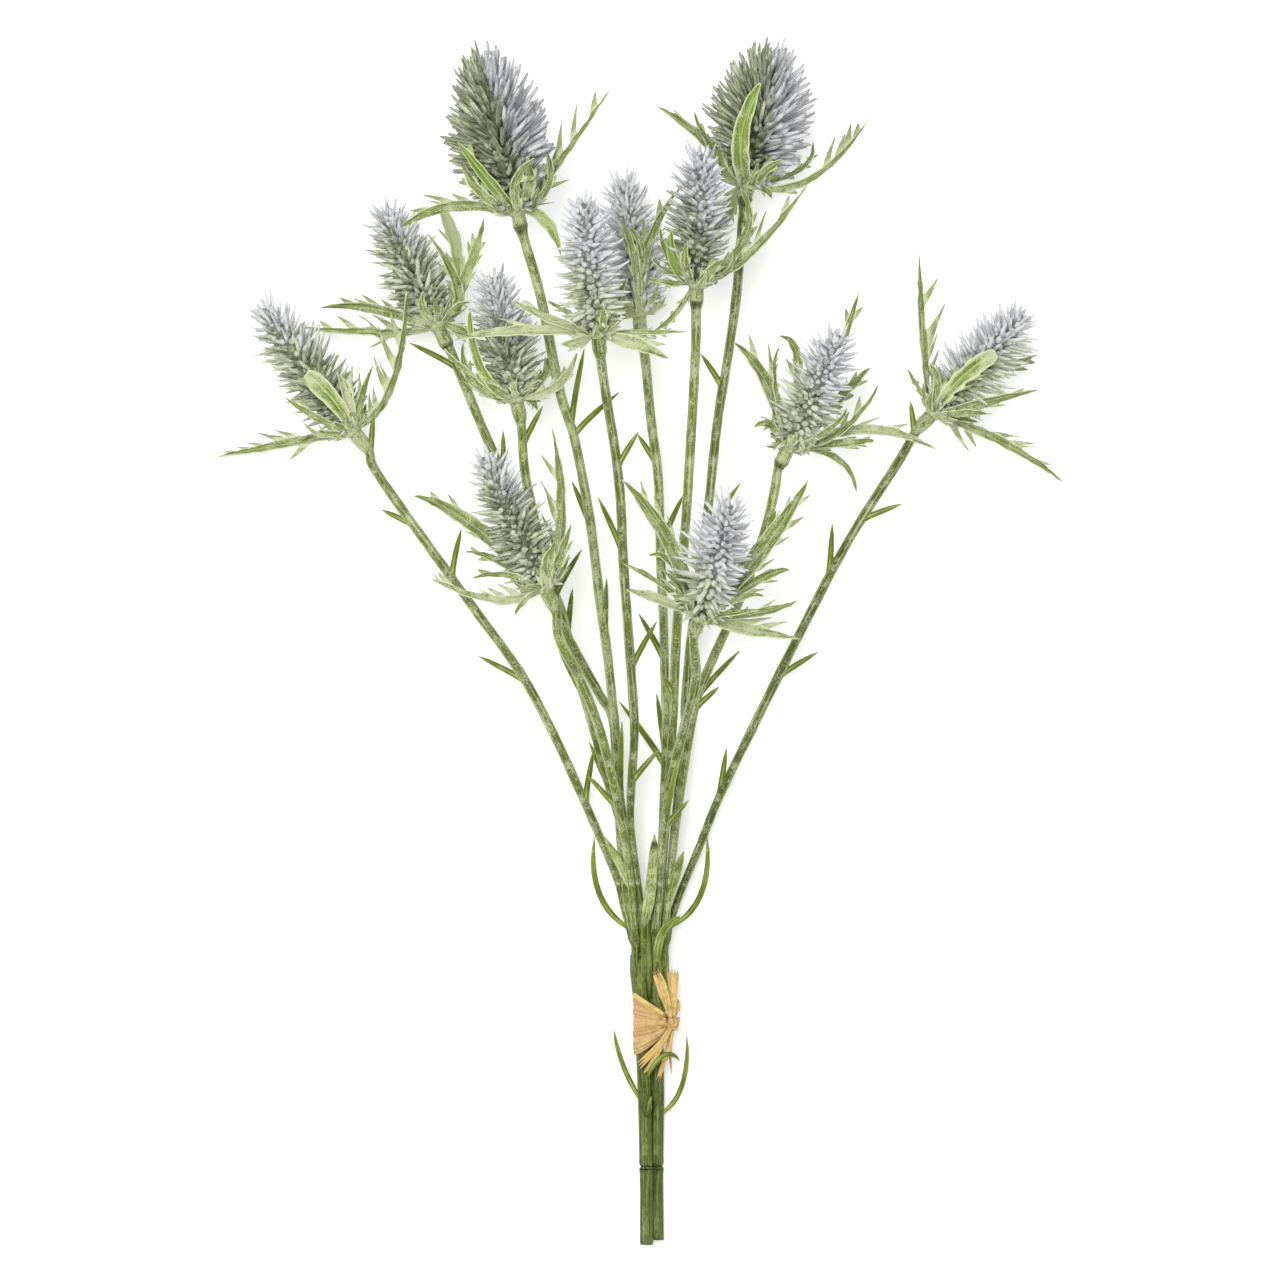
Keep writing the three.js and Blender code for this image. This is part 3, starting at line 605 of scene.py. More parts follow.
BRACT_FINISH = Finish(
    "bract_sage",
    Palette(deep=(0.06, 0.08, 0.018), body=(0.135, 0.175, 0.034), second=(0.19, 0.265, 0.04),
            frost=(0.62, 0.65, 0.43), second_frost=(0.6, 0.67, 0.35), tip=(0.14, 0.16, 0.05)),
    frost_strength=0.66, grain_scale=(1.25, 1.25, 0.7), edge_pale=0.85, edge_from=0.78, midrib_pale=0.35,
    tip_from=0.8, bump=0.6,
)
HEAD_FINISH = Finish(
    "spines",
    Palette(deep=(0.085, 0.1, 0.06), body=(0.2, 0.235, 0.13), second=(0.352, 0.357, 0.376),
            frost=(0.64, 0.67, 0.525), second_frost=(0.672, 0.679, 0.694), tip=(0.18, 0.145, 0.11)),
    frost_strength=0.85, grain_scale=(1.0, 1.0, 0.6), pale_lines=0.35, edge_pale=0.55, edge_from=0.55,
    root_shade=0.6, tip_from=0.8, roughness=0.8, bump=0.7,
)
RAFFIA_FINISH = Finish(
    "raffia_straw",
    Palette(deep=(0.35, 0.19, 0.06), body=(0.55, 0.35, 0.155), second=(0.66, 0.48, 0.16),
            frost=(0.74, 0.56, 0.29), second_frost=(0.8, 0.66, 0.33), tip=(0.55, 0.38, 0.15)),
    frost_strength=0.3, line_strength=0.65, pale_lines=0.3, tip_dryness=0.2, roughness=0.65, bump=0.3,
)


FINISHES = {
    Slot.STEM: STEM_FINISH,
    Slot.BRACT: BRACT_FINISH,
    Slot.HEAD: HEAD_FINISH,
    Slot.RAFFIA: RAFFIA_FINISH,
}


# Branches.

GRAIN_SPREAD = 400  # how far apart bracts and spines may start in their grain
LEAF_SIDES = 8
LEAF_STEPS = 10
LEAF_WIDTHS: Profile = ((0, 0.65), (0.3, 1), (0.75, 0.92), (0.92, 0.6), (1, 0.12))
LEAF_HALF_THICKNESS = 0.5
CUP_BELOW = 1.4  # the cup's lower face, below the place where the bracts meet
CUP_ABOVE = 1.1  # the foot of the head's core, above that place
GAP = 0.3  # between a stem's end and its cup
SWELLING_LENGTH = 8.0
SWELLING_RADIUS = 2.5
BRANCH_BASE_RADIUS = 1.28
BRANCH_TOP_RADIUS = 1.65
CUP_STEPS = 14
CUP_OUTLINE: Profile = (
    (-1.5, 0.0), (-1.48, 2.0), (-1.4, 2.65), (-0.6, 3.1), (0.4, 3.5), (1.1, 3.5), (1.4, 2.4), (1.5, 0.0),
)


Place = tuple[Vector, Vector, Vector]  # a spine's root, its tip and the way out from the head's axis


@dataclass(frozen=True)
class HeadShape:
    """The sizes of one kind of flower head.

    outline and bract_room are read by the share of the way from the collar to the tip, and give the
    radius at the spines' tips and under a bract. leans and core are read by the share of the way to
    the last spine's root. leans is a spine's angle from the axis. parting is how far the spines in
    front lie to either side. rings is a spine's thickness by the share of its length. florets are the
    short fat buds between the spines' roots, and floret_lean is a factor on their angle from the axis.
    """

    spines: int
    width: float
    thickness: float
    tip_length: float
    florets: int
    floret_length: float
    floret_lean: float
    parting: float
    rings: Profile
    outline: Profile
    leans: Profile
    core: Profile
    bract_room: Profile


HEADS = {
    HeadKind.SMALL: HeadShape(
        spines=230, width=1.02, thickness=0.98, tip_length=5, parting=0,
        florets=170, floret_length=4.4, floret_lean=1,
        rings=((0.16, 0.9), (0.4, 0.85), (0.66, 0.6), (0.88, 0.32)),
        outline=(
            (0, 8), (0.06, 10.6), (0.2, 12.6), (0.4, 12.7), (0.6, 11.8), (0.8, 9.8), (0.92, 7.6), (1, 4.5),
        ),
        leans=((0, 104), (0.1, 88), (0.35, 76), (0.7, 66), (0.9, 52), (1, 18)),
        core=((0, 3), (0.1, 3.9), (0.5, 4.1), (0.8, 3.4), (1, 2)),
        bract_room=((0, 5), (0.05, 7.1), (0.15, 9.5), (0.3, 11.1), (0.55, 10.7), (0.8, 8.9), (1, 3.4)),
    ),
    HeadKind.LARGE: HeadShape(
        spines=400, width=0.95, thickness=0.9, tip_length=10, parting=0.8,
        florets=190, floret_length=8, floret_lean=0.75,
        rings=((0.12, 0.85), (0.5, 1.0), (0.82, 0.8), (0.95, 0.5)),
        outline=((0, 8), (0.08, 13), (0.25, 18), (0.45, 19.6), (0.65, 17), (0.8, 13), (0.92, 8), (1, 2.5)),
        leans=((0, 112), (0.15, 90), (0.4, 68), (0.65, 50), (0.85, 34), (1, 6)),
        core=((0, 3.5), (0.12, 6), (0.4, 7.5), (0.7, 6.8), (0.9, 4.5), (1, 2.5)),
        bract_room=((0, 5.3), (0.08, 10.3), (0.2, 15.4), (0.4, 17.9), (0.6, 16.5), (0.8, 12.4), (1, 3.9)),
    ),
}


class Form(Enum):
    """A blade's half width by the share of its length, against half its width across the teeth."""

    POINTED = ((0, 0.45), (0.12, 0.6), (0.35, 0.85), (0.6, 0.75), (0.8, 0.5), (0.93, 0.22), (1, 0.02))
    BROAD = ((0, 0.55), (0.3, 0.8), (0.7, 1), (0.9, 0.95), (0.97, 0.8), (1, 0.5))
    LANCE = ((0, 0.75), (0.25, 1), (0.55, 0.9), (0.8, 0.65), (0.94, 0.35), (1, 0.1))


@dataclass(frozen=True)
class Leaf:
    """A needle leaf of a branch: the height Y where it leaves the stem, its tip and its middle.

    broad is how much broader than usual it is. A leaf with no middle runs nearly straight.
    """

    height: float
    tip: Triple
    broad: float = 1.0
    middle: Triple | None = None


@dataclass(frozen=True)
class Bract:
    """One toothed bract: its middle, its tip, its width across the teeth, and where its teeth end.

    Teeth are given from above, as X and Y. A bract with none listed gets pairs of teeth along it,
    unless it is a lance.
    """

    middle: Triple
    tip: Triple
    width: float
    tone: Tone = Tone.SAGE
    form: Form = Form.POINTED
    teeth: tuple[Pair, ...] = ()


class Blade:
    """Builds one bract on its collar."""

    ROOT_RADIUS = 2.0
    STEP = 1.9
    LEAST_STEPS = 8
    ACROSS = 4
    ROW = 100  # a corner number is its column plus this times its row
    FACING = 1.3  # how strongly a blade turns its face up
    TWIST = 0.25
    FOLD = 0.35  # how far the edges rise, against the half width
    CRINKLE = 0.38
    LEAN = 1.15  # how far a tooth's root lies behind its tip, against its length
    ROOTS = (0.08, 0.9)  # the shares of the blade between which teeth have their roots
    WIDE = 3.4  # a blade from this width on has teeth two steps wide
    TOOTH = ((0.3, 0.95), (0.65, 0.6), (1.0, 0.06))  # a tooth's width by the share of its length
    TOOTH_SAG = 0.08
    TOOTH_CLIMB = 3  # how far above or below its root a tooth may end
    PAIR_LENGTH = 14  # a blade with no teeth listed has one pair, and one more for each such length

    def __init__(self, mould: Mould, branch: "Branch", bract: Bract, rng: random.Random) -> None:
        """Work out the blade's route and which way it faces."""
        self.mould, self.branch, self.bract, self.rng = mould, branch, bract, rng
        centre, axis = branch.centre, branch.axis
        middle = Vector(bract.middle)
        offset = middle - centre
        outward = (offset - axis * offset.dot(axis)).normalized()
        start = centre + outward * self.ROOT_RADIUS
        self.route = Bow.through(start, middle, Vector(bract.tip))
        self.length = self.route.length()
        self.steps = max(self.LEAST_STEPS, round(self.length / self.STEP))
        self.shift = Vector((0, 0, rng.uniform(0, GRAIN_SPREAD)))
        self.twist = rng.uniform(-self.TWIST, self.TWIST)

    def spot(self, t: float) -> tuple[Vector, Vector, Vector]:
        """Find a place on the midrib, lifted on to the head where it would lie inside it.

        Args:
            t: The share of the midrib's length.

        Returns:
            The place, the way across the blade, and its face's normal.
        """
        branch = self.branch
        point = self.route.point(t)
        height = (point - branch.centre).dot(branch.axis)
        foot = branch.centre + branch.axis * height
        away = point - foot
        share = (height - CUP_ABOVE) / branch.head_length
        if 0 < share < 1 and t > 0:
            room = between(branch.shape.bract_room, share)
            level = away.xy.length
            if away.length < room and level < room:
                point.z += math.copysign(math.sqrt(room ** 2 - level ** 2), away.z) - away.z
                away = point - foot
        inner = branch.axis - away.normalized()
        if inner.z < 0:
            inner.negate()
        along = self.route.tangent(t)
        normal = inner + Vector((self.twist, 0, self.FACING))
        normal = (normal - along * normal.dot(along)).normalized()
        return point, along.cross(normal), normal

    def half_width(self, t: float) -> float:
        """Give the blade's half width between its teeth."""
        return self.bract.width * 0.5 * between(self.bract.form.value, t)

    def build(self) -> None:
        """Build the blade with its teeth."""
        bm, corner = self.mould.bm, self.mould.corner
        verts = bmesh.ops.create_grid(bm, x_segments=self.steps, y_segments=self.ACROSS, size=1.0)["verts"]
        rims: dict[tuple[int, int], bmesh.types.BMEdge] = {}
        for v in verts:
            row = round((v.co.y + 1) / 2 * self.ACROSS)
            v[corner] = round((v.co.x + 1) / 2 * self.steps) + self.ROW * row
        for edge in {e for v in verts for e in v.link_edges if e.is_boundary}:
            columns = [v[corner] % self.ROW for v in edge.verts]
            rows = {v[corner] // self.ROW for v in edge.verts}
            if len(rows) == 1 and rows <= {0, self.ACROSS}:
                rims[(min(columns), 1 if rows == {self.ACROSS} else -1)] = edge
        for v in verts:
            self.place(v)
        for x, y, side, share in self.tooth_tips():
            self.tooth(rims, x, y, side, share)

    def place(self, v: bmesh.types.BMVert) -> None:
        """Carry a vertex of the flat grid to its place on the blade, and mark it."""
        fresh, frost = self.bract.tone.value
        t, side = (v.co.x + 1) / 2, v.co.y
        point, across, normal = self.spot(t)
        reach = self.half_width(t) * side
        crinkle = self.rng.uniform(-self.CRINKLE, self.CRINKLE) * abs(side)
        ragged = self.rng.uniform(-self.CRINKLE, self.CRINKLE) * abs(side)
        v.co = point + across * (reach + ragged) + normal * (abs(reach) * self.FOLD + crinkle)
        grain = Vector((reach, 0, t * self.length)) + self.shift
        powder = 0.0
        if self.bract.form is Form.BROAD:
            powder = max(side * side, smoothstep(0.5, 1, t))
        elif self.bract.form is Form.LANCE:
            powder = 0.6 * side * side
        tint = fresh * smoothstep(0.1, 0.4, t) * (1 - 0.85 * powder)
        cover = frost + 0.35 * (0.5 - t) + 0.7 * powder
        self.mould.mark(v, grain, t * 0.6, tint, cover, max(abs(side), smoothstep(0.88, 1, t)))

    def tooth_tips(self) -> list[tuple[float, float, int, float]]:
        """List the teeth.

        Returns:
            For each tooth its tip's X and Y, the side it grows on, 1 or -1, and the share of the
            blade where its root lies.
        """
        tips = []
        for x, y in self.bract.teeth:
            nearest = self.route.nearest(x, y)
            point, across, _ = self.spot(nearest)
            offset = Vector((x, y)) - point.xy
            side = 1 if offset.dot(across.xy) > 0 else -1
            share = nearest - self.LEAN * offset.length / self.length
            tips.append((x, y, side, min(max(share, self.ROOTS[0]), self.ROOTS[1])))
        if self.bract.teeth or self.bract.form is Form.LANCE:
            return tips
        pairs = 1 + round(self.length / self.PAIR_LENGTH)
        for i in range(pairs):
            for side in (-1, 1):
                share = 0.18 + 0.62 * (i + self.rng.uniform(0.2, 0.8)) / pairs
                point, across, _ = self.spot(share)
                along = self.route.tangent(share)
                size = self.bract.width * self.rng.uniform(0.35, 0.6)
                tip = point + across * (side * (self.half_width(share) + 0.7 * size)) + along * size
                tips.append((tip.x, tip.y, side, share))
        return tips

    def tooth(self, rims: dict, x: float, y: float, side: int, share: float) -> None:
        """Draw one tooth out of the rim.

        Args:
            rims: The rim's free edges by their column and side. Those that are used are taken out.
            x: The tip's X.
            y: The tip's Y.
            side: The side it grows on, 1 or -1.
            share: The share of the blade where its root lies.
        """
        column = min(max(int(share * self.steps), 0), self.steps - 2)
        for step in (0, 1, -1, 2, -2):
            edge = rims.pop((column + step, side), None)
            if edge:
                break
        else:
            return
        edges = [edge]
        if self.bract.width >= self.WIDE:
            edges += [e for e in (rims.pop((column + step - 1, side), None),) if e]
        bm, mould = self.mould.bm, self.mould
        fresh, frost = self.bract.tone.value
        roots = {v[mould.corner]: v.co.copy() for e in edges for v in e.verts}
        middle = sum(roots.values(), Vector()) / len(roots)
        _, _, normal = self.spot(share)
        offset = Vector((x - middle.x, y - middle.y, 0))
        climb = -(normal.x * offset.x + normal.y * offset.y) / max(normal.z, 0.3)
        offset.z = min(max(climb, -self.TOOTH_CLIMB), self.TOOTH_CLIMB)
        along = self.route.tangent(share)
        for part, width in self.TOOTH:
            made = bmesh.ops.extrude_edge_only(bm, edges=edges)["geom"]
            edges = [
                g for g in made if isinstance(g, bmesh.types.BMEdge) and all(v in made for v in g.verts)
            ]
            sag = along * (-self.TOOTH_SAG * offset.length * math.sin(math.pi * part))
            for v in {v for e in edges for v in e.verts}:
                root = roots[v[mould.corner]]
                v.co = middle + (root - middle) * width + offset * part + sag
                grain = Vector(((2.2 + part * 2) * side, 0, share * self.length + part)) + self.shift
                rim = 0.45 if len(v.link_edges) > 3 else 0.86
                mould.mark(v, grain, 0.4 + 0.6 * part, fresh, frost - 0.1 * part, rim)


@dataclass(frozen=True)
class Branch:
    """One branch: its stem with needle leaves, its collar of bracts and its flower head.

    base is where the bracts meet and tip is where the head ends. stem is the stem's route up to its
    neck. bloom is the share of the head where lavender starts, and bloom_side how much earlier it
    starts on the right than on the left. powder is extra frosting on the head. lean opens the spines
    by that many degrees. spread is how much longer than usual they are at the left and at the right.
    """

    number: int
    base: Triple
    tip: Triple
    kind: HeadKind
    stem: tuple[Triple, ...]
    leaves: tuple[Leaf, ...]
    bracts: tuple[Bract, ...]
    bloom: float = 0.5
    bloom_side: float = 0.15
    powder: float = 0.0
    lean: float = 0.0
    spread: Pair = (1.0, 1.0)

    STEM_STEP = 4.5
    STEM_SIDES = 12
    NECK_STEPS = 5
    LEAF_PULL = 0.12
    LEAF_HALF_WIDTH = 1.15
    BRACT_THICKNESS = 0.5
    FILLERS = 9  # small bracts that close each collar
    CORE_STEPS = 12
    SLICES = 60  # how finely the core is cut to spread the roots over it
    SPINE_SIDES = 6
    SPINE_FOOT = 0.85
    SPINE_DEPTH = 0.8
    SPINE_LENGTHS = (3.0, 22.0)
    SPINE_RISE = 0.3  # how far the spines turn from the head's axis towards the end of the bunch
    SPINE_BOW = 0.22
    SPINE_CUTS = (1, 0.85, 0.7, 0.55, 0.4)  # the shares of its length that a spine may be cut to
    WAIST = 0.8  # the share of a spine's length where it is looked at for clearance, as its tip is
    TIP_ROOM, WAIST_ROOM = 2.1, 1.7
    FRONT = 0.85  # spines whose way out has at least this Z stand in front
    BLOOM_EDGE = 0.18  # half the share of the head over which green turns to lavender
    FLORET_RINGS = ((0.2, 1.0), (0.5, 1.0), (0.78, 0.72), (0.94, 0.36))
    FLORET_WIDTH = 1.22
    FLORET_DEPTH = 1

    @property
    def name(self) -> str:
        """Give the start of this branch's node names."""
        return f"branch_{self.number}"

    @property
    def shape(self) -> HeadShape:
        """Give the sizes of this branch's head."""
        return HEADS[self.kind]

    @property
    def centre(self) -> Vector:
        """Give the place where the bracts meet."""
        return Vector(self.base)

    @property
    def axis(self) -> Vector:
        """Give the head's direction."""
        return (Vector(self.tip) - self.centre).normalized()

    @property
    def head_length(self) -> float:
        """Give the head's length above its cup."""
        return (Vector(self.tip) - self.centre).length - CUP_ABOVE

    @property
    def core_length(self) -> float:
        """Give the height of the last spine's root above the cup."""
        return self.head_length - self.shape.tip_length

    def build(self, finishes: dict[Slot, bpy.types.Material]) -> None:
        """Build the branch's three pieces."""
        rng = random.Random(self.number)
        self.build_stem(finishes[Slot.STEM], rng)
        self.build_bracts(finishes[Slot.BRACT], rng)
        self.build_head(finishes[Slot.HEAD], rng)

    def build_stem(self, material: bpy.types.Material, rng: random.Random) -> None:
        """Build the stem, its swollen neck and its needle leaves."""
        end = self.centre - self.axis * (CUP_BELOW + GAP)
        neck = end - self.axis * SWELLING_LENGTH
        route = Chain([*map(Vector, self.stem), neck, end])
        swelling = len(self.stem) / (len(self.stem) + 1)  # where the neck starts: the route's last piece
        radii = (
            (0, BRANCH_BASE_RADIUS), (0.15, BRANCH_BASE_RADIUS), (0.5, BRANCH_TOP_RADIUS),
            (swelling, BRANCH_TOP_RADIUS), (mix(swelling, 1, 0.4), SWELLING_RADIUS),
            (1, SWELLING_RADIUS * 0.96),
        )
        steps = round(route.length() / self.STEM_STEP)
        ts = [swelling * i / steps for i in range(steps)]
        ts += [mix(swelling, 1, i / self.NECK_STEPS) for i in range(self.NECK_STEPS + 1)]
        mould = Mould()
        sections: list[Section] = []
        along = 0.0
        for t in ts:
            point = route.point(t)
            radius = between(radii, t) * rng.uniform(0.95, 1.05)
            frost = 0.15 * smoothstep(swelling - 0.02, 1, t)
            along += (point - sections[-1].point).length if sections else 0.0
            sections.append(Section(point, radius, radius, along, 0.3, frost=frost))
        mould.sweep(
            self.STEM_SIDES, sections, tint=rng.uniform(0, 0.45), frost=rng.uniform(0.34, 0.54), ribs=0.06,
        )
        for leaf in self.leaves:
            self.build_leaf(mould, route, leaf, rng)
        mould.finish(f"{self.name}_stem", material, Slot.STEM)

    def build_leaf(self, mould: Mould, stem: Route, leaf: Leaf, rng: random.Random) -> None:
        """Build one needle leaf of the stem."""
        t = stem.at_height(leaf.height)
        start, tip = stem.point(t), Vector(leaf.tip)
        if leaf.middle:
            route = Bow.through(start, Vector(leaf.middle), tip)
        else:
            route = Bow(start, start + stem.tangent(t) * (self.LEAF_PULL * (tip - start).length), tip)
        frost = rng.uniform(0.05, 0.35) + 0.65 * (leaf.broad - 1)
        needle(mould, route, self.LEAF_HALF_WIDTH * leaf.broad, rng.uniform(0.6, 1), frost)

    def build_bracts(self, material: bpy.types.Material, rng: random.Random) -> None:
        """Build the cup and every bract that it carries."""
        mould = Mould()
        for v in mould.turned(CUP_OUTLINE, CUP_STEPS, self.centre, self.axis):
            mould.mark(v, v.co.copy(), 0.3, 0.2, 0.5)
        for bract in (*self.bracts, *self.fillers(rng)):
            Blade(mould, self, bract, rng).build()
        piece = mould.finish(f"{self.name}_bracts", material, Slot.BRACT)
        solid = piece.modifiers.new("thickness", "SOLIDIFY")
        solid.thickness = self.BRACT_THICKNESS * MM
        solid.offset = 0.0
        smooth = piece.modifiers.new("smooth", "SUBSURF")
        smooth.levels = 1
        smooth.render_levels = 1

    def way_out(self, turn: float) -> Vector:
        """Give the way out from the head's axis at an angle round it."""
        side = self.axis.orthogonal().normalized()
        other = self.axis.cross(side)
        return side * math.cos(turn) + other * math.sin(turn)

    def fillers(self, rng: random.Random) -> list[Bract]:
        """Spread small bracts round the collar."""
        result = []
        for k in range(self.FILLERS):
            radial = self.way_out(math.tau * (k + rng.uniform(-0.3, 0.3)) / self.FILLERS)
            middle = self.centre + radial * rng.uniform(5.8, 6.8) + self.axis * rng.uniform(1, 3)
            tip = self.centre + radial * rng.uniform(9, 12.5) + self.axis * rng.uniform(4, 9)
            tone = rng.choice((Tone.FROSTED, Tone.FROSTED, Tone.SAGE))
            result.append(Bract(tuple(middle), tuple(tip), rng.uniform(3, 4), tone))
        return result

    def build_head(self, material: bpy.types.Material, rng: random.Random) -> None:
        """Build the core and the spines and florets that cover it."""
        mould, shape, last = Mould(), self.shape, self.core_length
        core = [(0.0, 0.0), *((share * last, radius) for share, radius in shape.core), (last + 1.5, 0.0)]
        foot = self.centre + self.axis * CUP_ABOVE
        for v in mould.turned(core, self.CORE_STEPS, foot, self.axis):
            share = (v.co - self.centre).dot(self.axis) / self.head_length
            mould.mark(v, v.co.copy(), 0.0, smoothstep(self.bloom - 0.3, self.bloom, share), -0.1)
        samples = self.bract_places()
        spine = self.spine_pattern(mould, shape.rings)
        for place in self.spine_places(rng):
            self.build_spine(mould, spine, samples, place, (shape.width, shape.thickness), rng)
        floret = self.spine_pattern(mould, self.FLORET_RINGS)
        for place in self.floret_places(rng):
            self.build_spine(mould, floret, samples, place, (self.FLORET_WIDTH, self.FLORET_WIDTH), rng)
        used = [g for g in (*spine, *floret) if isinstance(g, bmesh.types.BMVert)]
        bmesh.ops.delete(mould.bm, geom=used, context="VERTS")
        mould.finish(f"{self.name}_head", material, Slot.HEAD)

    def spine_pattern(self, mould: Mould, rings: Profile) -> list:
        """Make one straight spine of unit size, to be copied.

        Args:
            mould: The head's mesh, which it is made in.
            rings: Its radius by the share of its length.

        Returns:
            Its vertices, edges and faces.
        """
        bm, sides = mould.bm, self.SPINE_SIDES
        ring = bmesh.ops.create_circle(bm, cap_ends=True, radius=self.SPINE_FOOT, segments=sides)["verts"]
        cap = ring[0].link_faces[0]
        for height, radius in rings:
            made = bmesh.ops.extrude_face_region(bm, geom=[cap])["geom"]
            ring = [g for g in made if isinstance(g, bmesh.types.BMVert)]
            cap = next(g for g in made if isinstance(g, bmesh.types.BMFace))
            for v in ring:
                v.co = Vector((*(v.co.xy.normalized() * radius), height))
        tip = bmesh.ops.poke(bm, faces=[cap])["verts"][0]
        tip.co = UP
        verts = {tip}
        edge = {tip}
        while edge:
            edge = {w for v in edge for e in v.link_edges for w in e.verts} - verts
            verts |= edge
        ordered = sorted(verts, key=lambda v: (v.co.z, v.co.x, v.co.y))
        edges = sorted({e for v in verts for e in v.link_edges}, key=lambda e: e.calc_length())
        return [*ordered, *edges, *{f for v in verts for f in v.link_faces}]

    def bract_places(self) -> list[Vector]:
        """List places on the bracts that spines keep clear of."""
        places = []
        for bract in self.bracts:
            blade = Blade(Mould(), self, bract, random.Random(0))
            for t in (0.2, 0.3, 0.4, 0.5, 0.6, 0.7, 0.8, 0.9):
                point, across, _ = blade.spot(t)
                places += [point + across * (blade.half_width(t) * side) for side in (-0.7, 0, 0.7)]
            blade.mould.bm.free()
        return places

    def roots(self, count: int, rng: random.Random) -> list[tuple[float, Vector]]:
        """Spread roots evenly over the core, in a spiral.

        Args:
            count: How many there are.
            rng: The branch's random numbers.

        Returns:
            For each root its share of the way up and its way out.
        """
        slices = self.SLICES
        weights = [between(self.shape.core, (i + 0.5) / slices) + 0.6 for i in range(slices)]
        total = sum(weights)
        result = []
        filled, i = 0.0, 0
        for k in range(count):
            wanted = (k + 0.5) / count * total
            while filled + weights[i] < wanted:
                filled += weights[i]
                i += 1
            radial = self.way_out(k * GOLDEN_ANGLE + rng.uniform(-0.18, 0.18))
            result.append(((i + (wanted - filled) / weights[i]) / slices, radial))
        return result

    def root(self, share: float, radial: Vector, depth: float) -> Vector:
        """Give the place of a root, some depth inside the core."""
        height = CUP_ABOVE + share * self.core_length
        return self.centre + self.axis * height + radial * (between(self.shape.core, share) - depth)

    def floret_places(self, rng: random.Random) -> list[Place]:
        """Place the florets."""
        result = []
        for share, radial in self.roots(self.shape.florets, rng):
            lean = math.radians(mix(95, 45, share) * self.shape.floret_lean + rng.uniform(-16, 16))
            length = self.shape.floret_length * rng.uniform(0.75, 1.2) * mix(1, 0.75, share)
            root = self.root(share, radial, self.FLORET_DEPTH)
            tip = root + (self.axis * math.cos(lean) + radial * math.sin(lean)) * length
            result.append((root, tip, radial))
        return result

    def spine_places(self, rng: random.Random) -> list[Place]:
        """Start each spine on the core and end it on the head's outline."""
        shape = self.shape
        result = []
        for share, radial in self.roots(shape.spines, rng):
            if radial.z > self.FRONT and share < 0.75 and rng.random() < 0.2 + 0.55 * self.powder:
                continue  # florets show here
            wobble = rng.uniform(-13, 13)
            lean = math.radians(between(shape.leans, share) + self.lean * (1 - share) + wobble)
            size = rng.uniform(0.74, 1.18) * mix(*self.spread, (1 + radial.x) / 2)
            radius = between(shape.core, share) - self.SPINE_DEPTH
            length = self.spine_length(share * self.core_length, radius, lean) * size
            root = self.root(share, radial, self.SPINE_DEPTH)
            rise = (self.axis + Vector((0, self.SPINE_RISE * share, 0))).normalized()
            tip = root + (rise * math.cos(lean) + radial * math.sin(lean)) * length
            tip += Vector((rng.uniform(-0.7, 0.7), rng.uniform(-0.7, 0.7), 0))
            tip.x += math.copysign(shape.parting * max(0, radial.z - 0.35), radial.x)
            result.append((root, tip, radial))
        return result

    def spine_length(self, height: float, radius: float, lean: float) -> float:
        """Find how long a spine is that ends on the outline.

        Args:
            height: Its root's height above the cup.
            radius: Its root's distance from the axis.
            lean: Its angle from the axis.

        Returns:
            The length.
        """
        length, longest = self.SPINE_LENGTHS
        while length < longest:
            level = height + length * math.cos(lean)
            if level > self.head_length or radius + length * math.sin(lean) > between(
                self.shape.outline, level / self.head_length
            ):
                break
            length += 0.25
        return length

    def build_spine(
        self, mould: Mould, pattern: list, samples: list[Vector], place: Place, size: Pair,
        rng: random.Random,
    ) -> None:
        """Copy the spine pattern to one place, bent a little towards the head's tip.

        Args:
            mould: The head's mesh.
            pattern: The vertices, edges and faces to copy.
            samples: Places to keep clear of. A spine that can't be cut to clear them is left out.
            place: Where it stands.
            size: How wide and how thick it is, against the pattern.
            rng: The branch's random numbers.
        """
        root, tip, radial = place
        for cut in self.SPINE_CUTS:
            end = root + (tip - root) * cut
            waist = root + (tip - root) * (cut * self.WAIST)
            if all(
                (end - sample).length > self.TIP_ROOM and (waist - sample).length > self.WAIST_ROOM
                for sample in samples
            ):
                break
        else:
            return
        length = (end - root).length
        direction = (end - root).normalized()
        bow = Bow(root, root + (direction + radial * self.SPINE_BOW) * (length * 0.5), end)
        side = radial.cross(self.axis).normalized()
        up = direction.cross(side)
        share = (tip - self.centre).dot(self.axis) / self.head_length
        ripe = share - self.bloom + self.bloom_side * radial.x + rng.uniform(-0.1, 0.1)
        bloom = smoothstep(-self.BLOOM_EDGE, self.BLOOM_EDGE, ripe)
        frost = rng.uniform(0.15, 0.85) + self.powder + 0.35 * bloom
        girth = rng.uniform(0.85, 1.15) * mix(1.0, 0.75, share)
        shift = Vector((0, 0, rng.uniform(0, GRAIN_SPREAD)))
        made = bmesh.ops.duplicate(mould.bm, geom=pattern)["geom"]
        for v in made:
            if not isinstance(v, bmesh.types.BMVert):
                continue
            x, y, t = v.co
            across = side * (x * size[0] * girth) + up * (y * size[1] * girth)
            v.co = bow.point(t) + across
            rim = min(abs(x) / max(math.hypot(x, y), 0.05), 1)
            mould.mark(v, Vector((x, y, t * length)) + shift, t, bloom, frost, rim)


def needle(mould: Mould, route: Route, half_width: float, tint: float, frost: float) -> None:
    """Build a needle leaf along a route, from the stem to its tip."""
    sections = []
    length = route.length()
    for i in range(LEAF_STEPS + 1):
        t = i / LEAF_STEPS
        share = between(LEAF_WIDTHS, t)
        height = LEAF_HALF_THICKNESS * share
        sections.append(Section(route.point(t), half_width * share, height, t * length, mix(0.3, 1, t)))
    mould.sweep(LEAF_SIDES, sections, tint, frost)


# Main stems.

